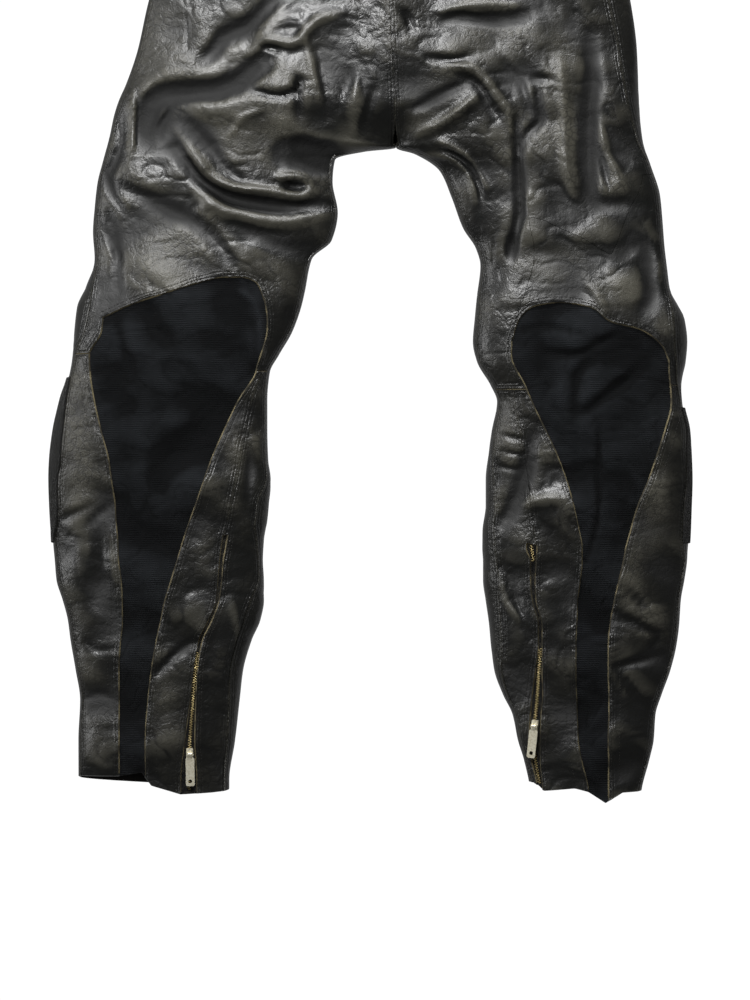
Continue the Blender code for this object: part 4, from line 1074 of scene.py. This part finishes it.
def stitchAlong(thread, surface, normals, rowPath, columnPath, aside):
    # a row of stitches beside a line of grid points, aside millimetres into the rows or columns
    rows, columns = np.asarray(rowPath), np.asarray(columnPath)
    points = surface.place[rows, columns]
    out = normals[rows, columns]
    along = np.gradient(points, axis=0)
    sideways = np.cross(out, along)
    sideways /= np.linalg.norm(sideways, axis=1, keepdims=True) + 1e-9
    places = surface.place.reshape(-1, 3)
    moved = points + sideways * aside
    near = nearestTree(surface)
    kept, keptNormals = [], []
    flatNormals = normals.reshape(-1, 3)
    for point in moved:
        _, number, _ = near.find(Vector((point[0], point[1], 0.0)))
        base, out = places[number], flatNormals[number]
        if out[2] < 0.12:
            kept.append(point)
        else:
            height = base[2] - ((point[0] - base[0]) * out[0] + (point[1] - base[1]) * out[1]) / out[2]
            kept.append((point[0], point[1], height))
        keptNormals.append(out)
    kept = np.array(kept)
    smoothed = kept.copy()
    smoothed[1:-1] = (kept[:-2] + kept[1:-1] * 2 + kept[2:]) / 4
    thread.row(smoothed, np.array(keptNormals))


def nearestTree(surface):
    if not hasattr(surface, "tree"):
        places = surface.place.reshape(-1, 3)
        surface.tree = kdtree.KDTree(len(places))
        for number, point in enumerate(places):
            surface.tree.insert(Vector((point[0], point[1], 0.0)), number)
        surface.tree.balance()
    return surface.tree


def buildLeg(side):
    leg = Leg(side)
    tag = side.capitalize()
    grid = backGrid(leg)
    back = Surface(leg, grid, True)
    front = Surface(leg, frontGrid(leg, grid), False)
    shape = (grid.shape[0] - 1, grid.shape[1] - 1)
    hip, thigh, horn, calf = np.cumsum(fineRows)[1:]
    outer, knit, behind, zipped, inner = np.cumsum(fineColumns)
    opening = horn + blocks["aboveZip"] * blocks["rowSteps"][4]
    seatCells = chosen(shape, (0, hip), (0, inner))
    lowerThigh = chosen(shape, (hip, thigh), (0, knit)) | chosen(shape, (thigh, horn), (0, outer))
    innerThigh = chosen(shape, (hip, horn), (knit, inner))
    pieces = {}
    if side == "right":
        pieces["lowerThigh"] = (lowerThigh, "lower_thigh")
        pieces["seat"] = (seatCells | innerThigh, "seat")
    else:
        pieces["seat"] = (seatCells | innerThigh | lowerThigh, "seat")
    stretch = chosen(shape, (thigh, calf), (outer, knit))
    pieces["calfOuter"] = (chosen(shape, (horn, calf), (0, outer)), "calf_outer")
    pieces["calfBehindZip"] = (chosen(shape, (horn, calf), (knit, behind)), "calf_behind_zip")
    above = chosen(shape, (horn, opening), (behind, zipped))
    pieces["calfInner"] = (chosen(shape, (horn, calf), (zipped, inner)) | above, "calf_inner")
    tape = chosen(shape, (opening, calf), (behind, zipped))

    place = back.place
    rows = np.arange(grid.shape[0])
    columns = np.arange(grid.shape[1])
    lines = [
        dense(place[:, 0]),
        dense(place[:hip + 1, inner]),
        dense(place[hip:, inner]),
        dense(place[thigh:, outer]),
        dense(place[thigh:, knit]),
        dense(place[thigh, outer:knit + 1]),
        dense(place[horn, :outer + 1]),
        dense(place[horn, knit:]),
        dense(place[opening:, behind]),
        dense(place[opening:, zipped]),
        dense(place[horn:opening + 1, behind]),
    ]
    seamDistance(back, lines)
    bare = np.zeros(grid.shape[:2])
    raw = bare.copy()
    raw[besideOf(stretch)] = 1.0
    raw[besideOf(tape)] = 1.0
    raw[thigh - 20:, 0] = 1.0
    raw[horn, :outer + 1] = 1.0
    raw[horn, knit:] = 1.0
    raw[calf, :] = 0.0
    frontName = {"hips": f"thighFront{tag}", "calf": f"shin{tag}"}
    for name, (cells, node) in pieces.items():
        item, size = makePanel(f"{name}{tag}", back, cells, cloth["leather"], 0.0, leatherLayers, raw)
        under = [frontName["hips"] if "seat" in node or "thigh" in node else frontName["calf"]]
        declareCloth(item, f"{node}_{side}")
    layers = (finishes["knit"], finishes["knit"], finishes["knit"])
    item, size = makePanel(f"stretch{tag}", back, tucked(stretch), cloth["knit"], cloth["knitSunk"], layers)
    declareCloth(item, f"stretch_{side}")
    layers = (finishes["tape"], finishes["tape"], finishes["tape"])
    item, size = makePanel(f"zipTape{tag}", back, tucked(tape), cloth["zipTape"], cloth["zipSunk"], layers)
    declareCloth(item, f"zip_tape_{side}")

    frontShape = (front.grid.shape[0] - 1, front.grid.shape[1] - 1)
    last = frontShape[1]
    knee = int(np.cumsum(fineRows)[2])
    cupTop = knee - blocks["cupAbove"] * blocks["rowSteps"][2]
    cupEnd = horn + blocks["cupBelow"] * blocks["rowSteps"][4]
    frontLines = [
        dense(front.place[:, 0]), dense(front.place[:, last]),
        dense(front.place[cupTop]), dense(front.place[cupEnd]),
    ]
    seamDistance(front, frontLines)
    for name, node, first, end, thickness in (
        ("thighFront", "thigh_front", 0, cupTop, "leather"),
        ("kneeCup", "knee_cup", cupTop, cupEnd, "kneePadding"),
        ("shin", "shin", cupEnd, calf, "leather"),
    ):
        cells = chosen(frontShape, (first, end), (0, last))
        item, size = makePanel(f"{name}{tag}", front, cells, cloth[thickness], 0.0, leatherLayers)
        if name == "kneeCup":
            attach(item, "garment")
            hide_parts(f"{node}_{side}")
        else:
            declareCloth(item, f"{node}_{side}")
    first, end = (horn + count * blocks["rowSteps"][4] for count in blocks["patchRows"][side])
    cells = chosen(frontShape, (first, end), (last - blocks["patchColumns"] * blocks["frontSteps"], last))
    layers = (finishes["patch"], finishes["patch"], finishes["patch"])
    sunk = -cloth["layGap"] - cloth["patch"]
    item, size = makePanel(f"hookPatch{tag}", front, cells, cloth["patch"], sunk, layers)
    declareCloth(item, f"hook_patch_{side}")
    print("panels made", side)

    # rows of stitches along the seams
    thread = Thread()
    normals = surfaceNormals(place, leg.hand)
    into = -leg.hand

    def down(first, end, column, aside):
        stitchAlong(thread, back, normals, rows[first:end], np.full(end - first, column), aside)

    def over(first, end, row, aside):
        stitchAlong(thread, back, normals, np.full(end - first, row), columns[first:end], aside)

    for aside in stitching["centre"][side]:
        down(0, int(hip * 0.7), inner, aside * into)
    for aside in (3.0, 6.4):
        down(opening, calf, behind, aside * into)
        down(opening, calf, zipped, -aside * into)
        over(outer, knit, thigh, -aside * into)
        if side == "right":
            down(10, hip - 6, outer, aside * into)
    for aside in (3.2, 13.0):
        down(horn, calf, outer, aside * into)
        down(horn, calf, knit, -aside * into)
    down(thigh, horn, outer, 3.0 * into)
    down(thigh, horn, knit, -3.0 * into)
    over(2, outer, horn, -3.0 * into)
    over(knit, inner - 4, horn, -3.0 * into)
    over(knit, inner - 4, horn, 3.0 * into)
    down(horn, calf, 0, -3.0 * into)
    item = finishObject(f"stitches{tag}", thread.mesh, [finishes["thread"]])
    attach(item, "garment")
    print("stitches", side, thread.count)
    return leg, grid, back, front, normals


zipLook = {
    "pitch": 2.9,
    "width": 2.4,
    "length": 1.05,
    "height": 1.5,
    "overlap": 0.45,
    "leastOpening": 3.0,
    "shows": {"left": ((-366, -600),), "right": ((-222, -262), (-362, -600))},
}


def zipTeeth(side, back, normals, opening, behind, zipped, calf):
    # two rows of teeth that mesh along the middle of the tape
    mesh = bmesh.new()
    middle = (behind + zipped) // 2
    points = back.place[opening:calf, middle] - back.normal[opening:calf, middle] * (cloth["zipSunk"] - 0.6)
    out = back.normal[opening:calf, middle]
    widths = np.linalg.norm(back.place[opening:calf, zipped] - back.place[opening:calf, behind], axis=1)
    steps = np.linalg.norm(np.diff(points, axis=0), axis=1)
    knots = np.concatenate(([0.0], np.cumsum(steps)))
    number = 0
    for at in np.arange(2.0, knots[-1] - 2.0, zipLook["pitch"] / 2):
        opened = float(np.interp(at, knots, widths))
        place = Vector([np.interp(at, knots, points[:, axis]) for axis in range(3)])
        ahead = Vector([np.interp(at + 1, knots, points[:, axis]) for axis in range(3)])
        normal = Vector([np.interp(at, knots, out[:, axis]) for axis in range(3)]).normalized()
        along = (ahead - place).normalized()
        aside = normal.cross(along).normalized()
        normal = along.cross(aside).normalized()
        sign = 1 if number % 2 else -1
        number += 1
        seen = any(end < place.y < start for start, end in zipLook["shows"][side])
        if opened < zipLook["leastOpening"] or not seen:
            continue
        turn = Matrix((aside, along, normal)).transposed().to_4x4()
        shift = aside * sign * (zipLook["width"] / 2 - zipLook["overlap"])
        size = Matrix.Diagonal((zipLook["width"], zipLook["length"], zipLook["height"], 1.0))
        matrix = Matrix.Scale(mm, 4) @ Matrix.Translation(place + shift) @ turn @ size
        made = bmesh.ops.create_cube(mesh, size=1.0, matrix=matrix)["verts"]
        edges = {edge for point in made for edge in point.link_edges}
        bmesh.ops.bevel(
            mesh, geom=list(edges), affect="EDGES", offset=0.22 * mm, segments=1, profile=0.5, material=-1,
        )
    item = finishObject(f"zipTeeth{side.capitalize()}", mesh, [finishes["teeth"]], smooth=False)
    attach(item, "garment")
    print("teeth", side, number)


underlapSteps = ((-16.0, 3.6), (6.0, 3.6), (23.0, 3.6), (30.0, 0.0))


def waistbandHalf(leg, grid, frontSurface):
    # from the centre front round the side to the centre back, drawn from the same columns
    tag = leg.side.capitalize()
    angles = np.array([*frontSurface.grid[0, :, 1], *(grid[0, 1:, 1] + 2 * math.pi)])
    downs = [leg.downAt(up) for up in np.linspace(section["waistTop"], section["bandBottom"], 15)]
    band = np.stack(np.meshgrid(downs, angles, indexing="ij"), -1)
    surface = Surface(leg, band, False)
    if leg.side == "right":
        for values in ("place", "smooth", "normal"):
            setattr(surface, values, underlap(getattr(surface, values), values == "normal"))
        extra = len(underlapSteps)
        for values in ("ridge", "hollow", "wear", "seam", "down", "along", "lift"):
            old = getattr(surface, values)
            setattr(surface, values, np.concatenate([np.repeat(old[:, :1], extra, 1), old[:, 1:]], 1))
    steps = np.linalg.norm(np.diff(surface.smooth, axis=1), axis=-1)
    surface.along = np.concatenate([np.zeros((len(steps), 1)), np.cumsum(steps, axis=1)], 1)
    seamDistance(surface, [dense(surface.place[0]), dense(surface.place[-1])])
    cells = np.ones((surface.place.shape[0] - 1, surface.place.shape[1] - 1), bool)
    item, size = makePanel(f"waistband{tag}", surface, cells, cloth["waistband"], 0.0, leatherLayers)
    declareCloth(item, f"waistband_{leg.side}")


def underlap(points, isNormal):
    ends = []
    for across, lift in underlapSteps:
        column = points[:, :1].copy()
        if not isNormal:
            column[..., 0] = across
            column[..., 2] += lift
        ends.append(column)
    return np.concatenate([*ends, points[:, 1:]], 1)


flyGuard = {"left": -4.0, "right": 44.0, "bottom": 345.0, "top": 499.0, "narrowsBy": 0.5}


def buildFlyGuard():
    mesh = bmesh.new()
    keys = {key: mesh.verts.layers.float.new(key) for key in ("ridge", "seam")}
    bmesh.ops.create_grid(mesh, x_segments=24, y_segments=60, size=1.0)
    moved = bmesh.ops.extrude_face_region(mesh, geom=mesh.faces[:])
    second = {part for part in moved["geom"] if isinstance(part, bmesh.types.BMVert)}
    middle = (flyGuard["left"] + flyGuard["right"]) / 2
    half = (flyGuard["right"] - flyGuard["left"]) / 2
    for point in mesh.verts:
        up = flyGuard["bottom"] + (point.co.y + 1) / 2 * (flyGuard["top"] - flyGuard["bottom"])
        narrow = 1 - max(0.0, 1 - (point.co.y + 1) * 2) * flyGuard["narrowsBy"]
        point[keys["seam"]] = (1 - abs(point.co.x)) * half
        across = middle + point.co.x * half * narrow
        height = cloth["leather"] + cloth["layGap"] + (cloth["leather"] if point in second else 0.0)
        point.co = Vector((across, up, height)) * mm
    item = finishObject("flyGuard", mesh, [finishes["leather"]])
    wide, tall = half * 2 * mm, (flyGuard["top"] - flyGuard["bottom"]) * mm
    area = wide * tall * (1 - flyGuard["narrowsBy"] / 8)  # only its lowest quarter narrows, evenly
    declareCloth(item, "fly_guard")


# Camera over the garment, with the photo's edges
view = {"across": 5.75, "up": -192.0, "height": 6000.0, "frame": 1150.0, "level": 22.0}
camera = bpy.data.objects.new("camera", bpy.data.cameras.new("camera"))
camera.location = Vector((view["across"], view["up"], view["height"] + view["level"])) * mm
camera.data.lens = camera.data.sensor_width * view["height"] / view["frame"]
camera.data.clip_end = 100.0
bpy.context.scene.collection.objects.link(camera)
bpy.context.scene.camera = camera

for side in ("left", "right"):
    leg, grid, back, front, normals = buildLeg(side)
    horn, calf = np.cumsum(fineRows)[3:]
    knitEnd, behind, zipped = np.cumsum(fineColumns)[1:4]
    opening = horn + blocks["aboveZip"] * blocks["rowSteps"][4]
    zipTeeth(side, back, normals, opening, behind, zipped, calf)
    waistbandHalf(leg, grid, front)
buildFlyGuard()
for name in ("zip_slider_left", "zip_slider_right", "zip_pull_left", "zip_pull_right", "press_stud"):
    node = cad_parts[name]
    node.data.materials.clear()
    node.data.materials.append(finishes["metal"])
print("garment made")

# Floor, light and the paler world round it
studio = {"floor": 4.0, "floorShine": 0.4, "floorSeen": 1.05, "world": 0.1}


def buildStage():
    mesh = bmesh.new()
    bmesh.ops.create_grid(mesh, x_segments=1, y_segments=1, size=studio["floor"])
    bmesh.ops.translate(mesh, vec=(0.0, 0.0, -0.0006), verts=mesh.verts)
    data = bpy.data.meshes.new("floor")
    mesh.to_mesh(data)
    mesh.free()
    material = bpy.data.materials.new("pale_floor")
    material.use_nodes = True
    tree = material.node_tree
    tree.nodes.clear()
    plain = tree.nodes.new("ShaderNodeEmission")
    plain.inputs["Strength"].default_value = studio["floorShine"]
    seen = tree.nodes.new("ShaderNodeEmission")
    seen.inputs["Strength"].default_value = studio["floorSeen"]
    path = tree.nodes.new("ShaderNodeLightPath")
    mix = tree.nodes.new("ShaderNodeMixShader")
    out = tree.nodes.new("ShaderNodeOutputMaterial")
    tree.links.new(path.outputs["Is Camera Ray"], mix.inputs[0])
    tree.links.new(plain.outputs[0], mix.inputs[1])
    tree.links.new(seen.outputs[0], mix.inputs[2])
    tree.links.new(mix.outputs[0], out.inputs[0])
    data.materials.append(material)
    floor = bpy.data.objects.new("floor", data)
    bpy.context.scene.collection.objects.link(floor)
    world = bpy.data.worlds.new("studio")
    world.use_nodes = True
    world.node_tree.nodes["Background"].inputs["Color"].default_value = (1.0, 1.0, 0.97, 1.0)
    world.node_tree.nodes["Background"].inputs["Strength"].default_value = studio["world"]
    bpy.context.scene.world = world
    bpy.context.scene.view_settings.view_transform = "Standard"


lamps = {
    "over": {"at": (-0.5, 1.5, 2.3), "size": (0.8, 0.5), "power": 60.0},
    "top": {"at": (0.2, 2.6, 1.2), "size": (2.0, 0.4), "power": 70.0},
    "left": {"at": (-2.4, 0.3, 1.3), "size": (1.6, 0.4), "power": 22.0},
}


def buildLamps():
    for name, lamp in lamps.items():
        data = bpy.data.lights.new(name, "AREA")
        data.shape = "RECTANGLE"
        data.size, data.size_y = lamp["size"]
        data.energy = lamp["power"]
        item = bpy.data.objects.new(name, data)
        item.location = lamp["at"]
        aim = Vector((0.0, 0.0, 0.0)) - Vector(lamp["at"])
        item.rotation_euler = aim.to_track_quat("-Z", "Y").to_euler()
        bpy.context.scene.collection.objects.link(item)


buildStage()
buildLamps()
print("stage made")
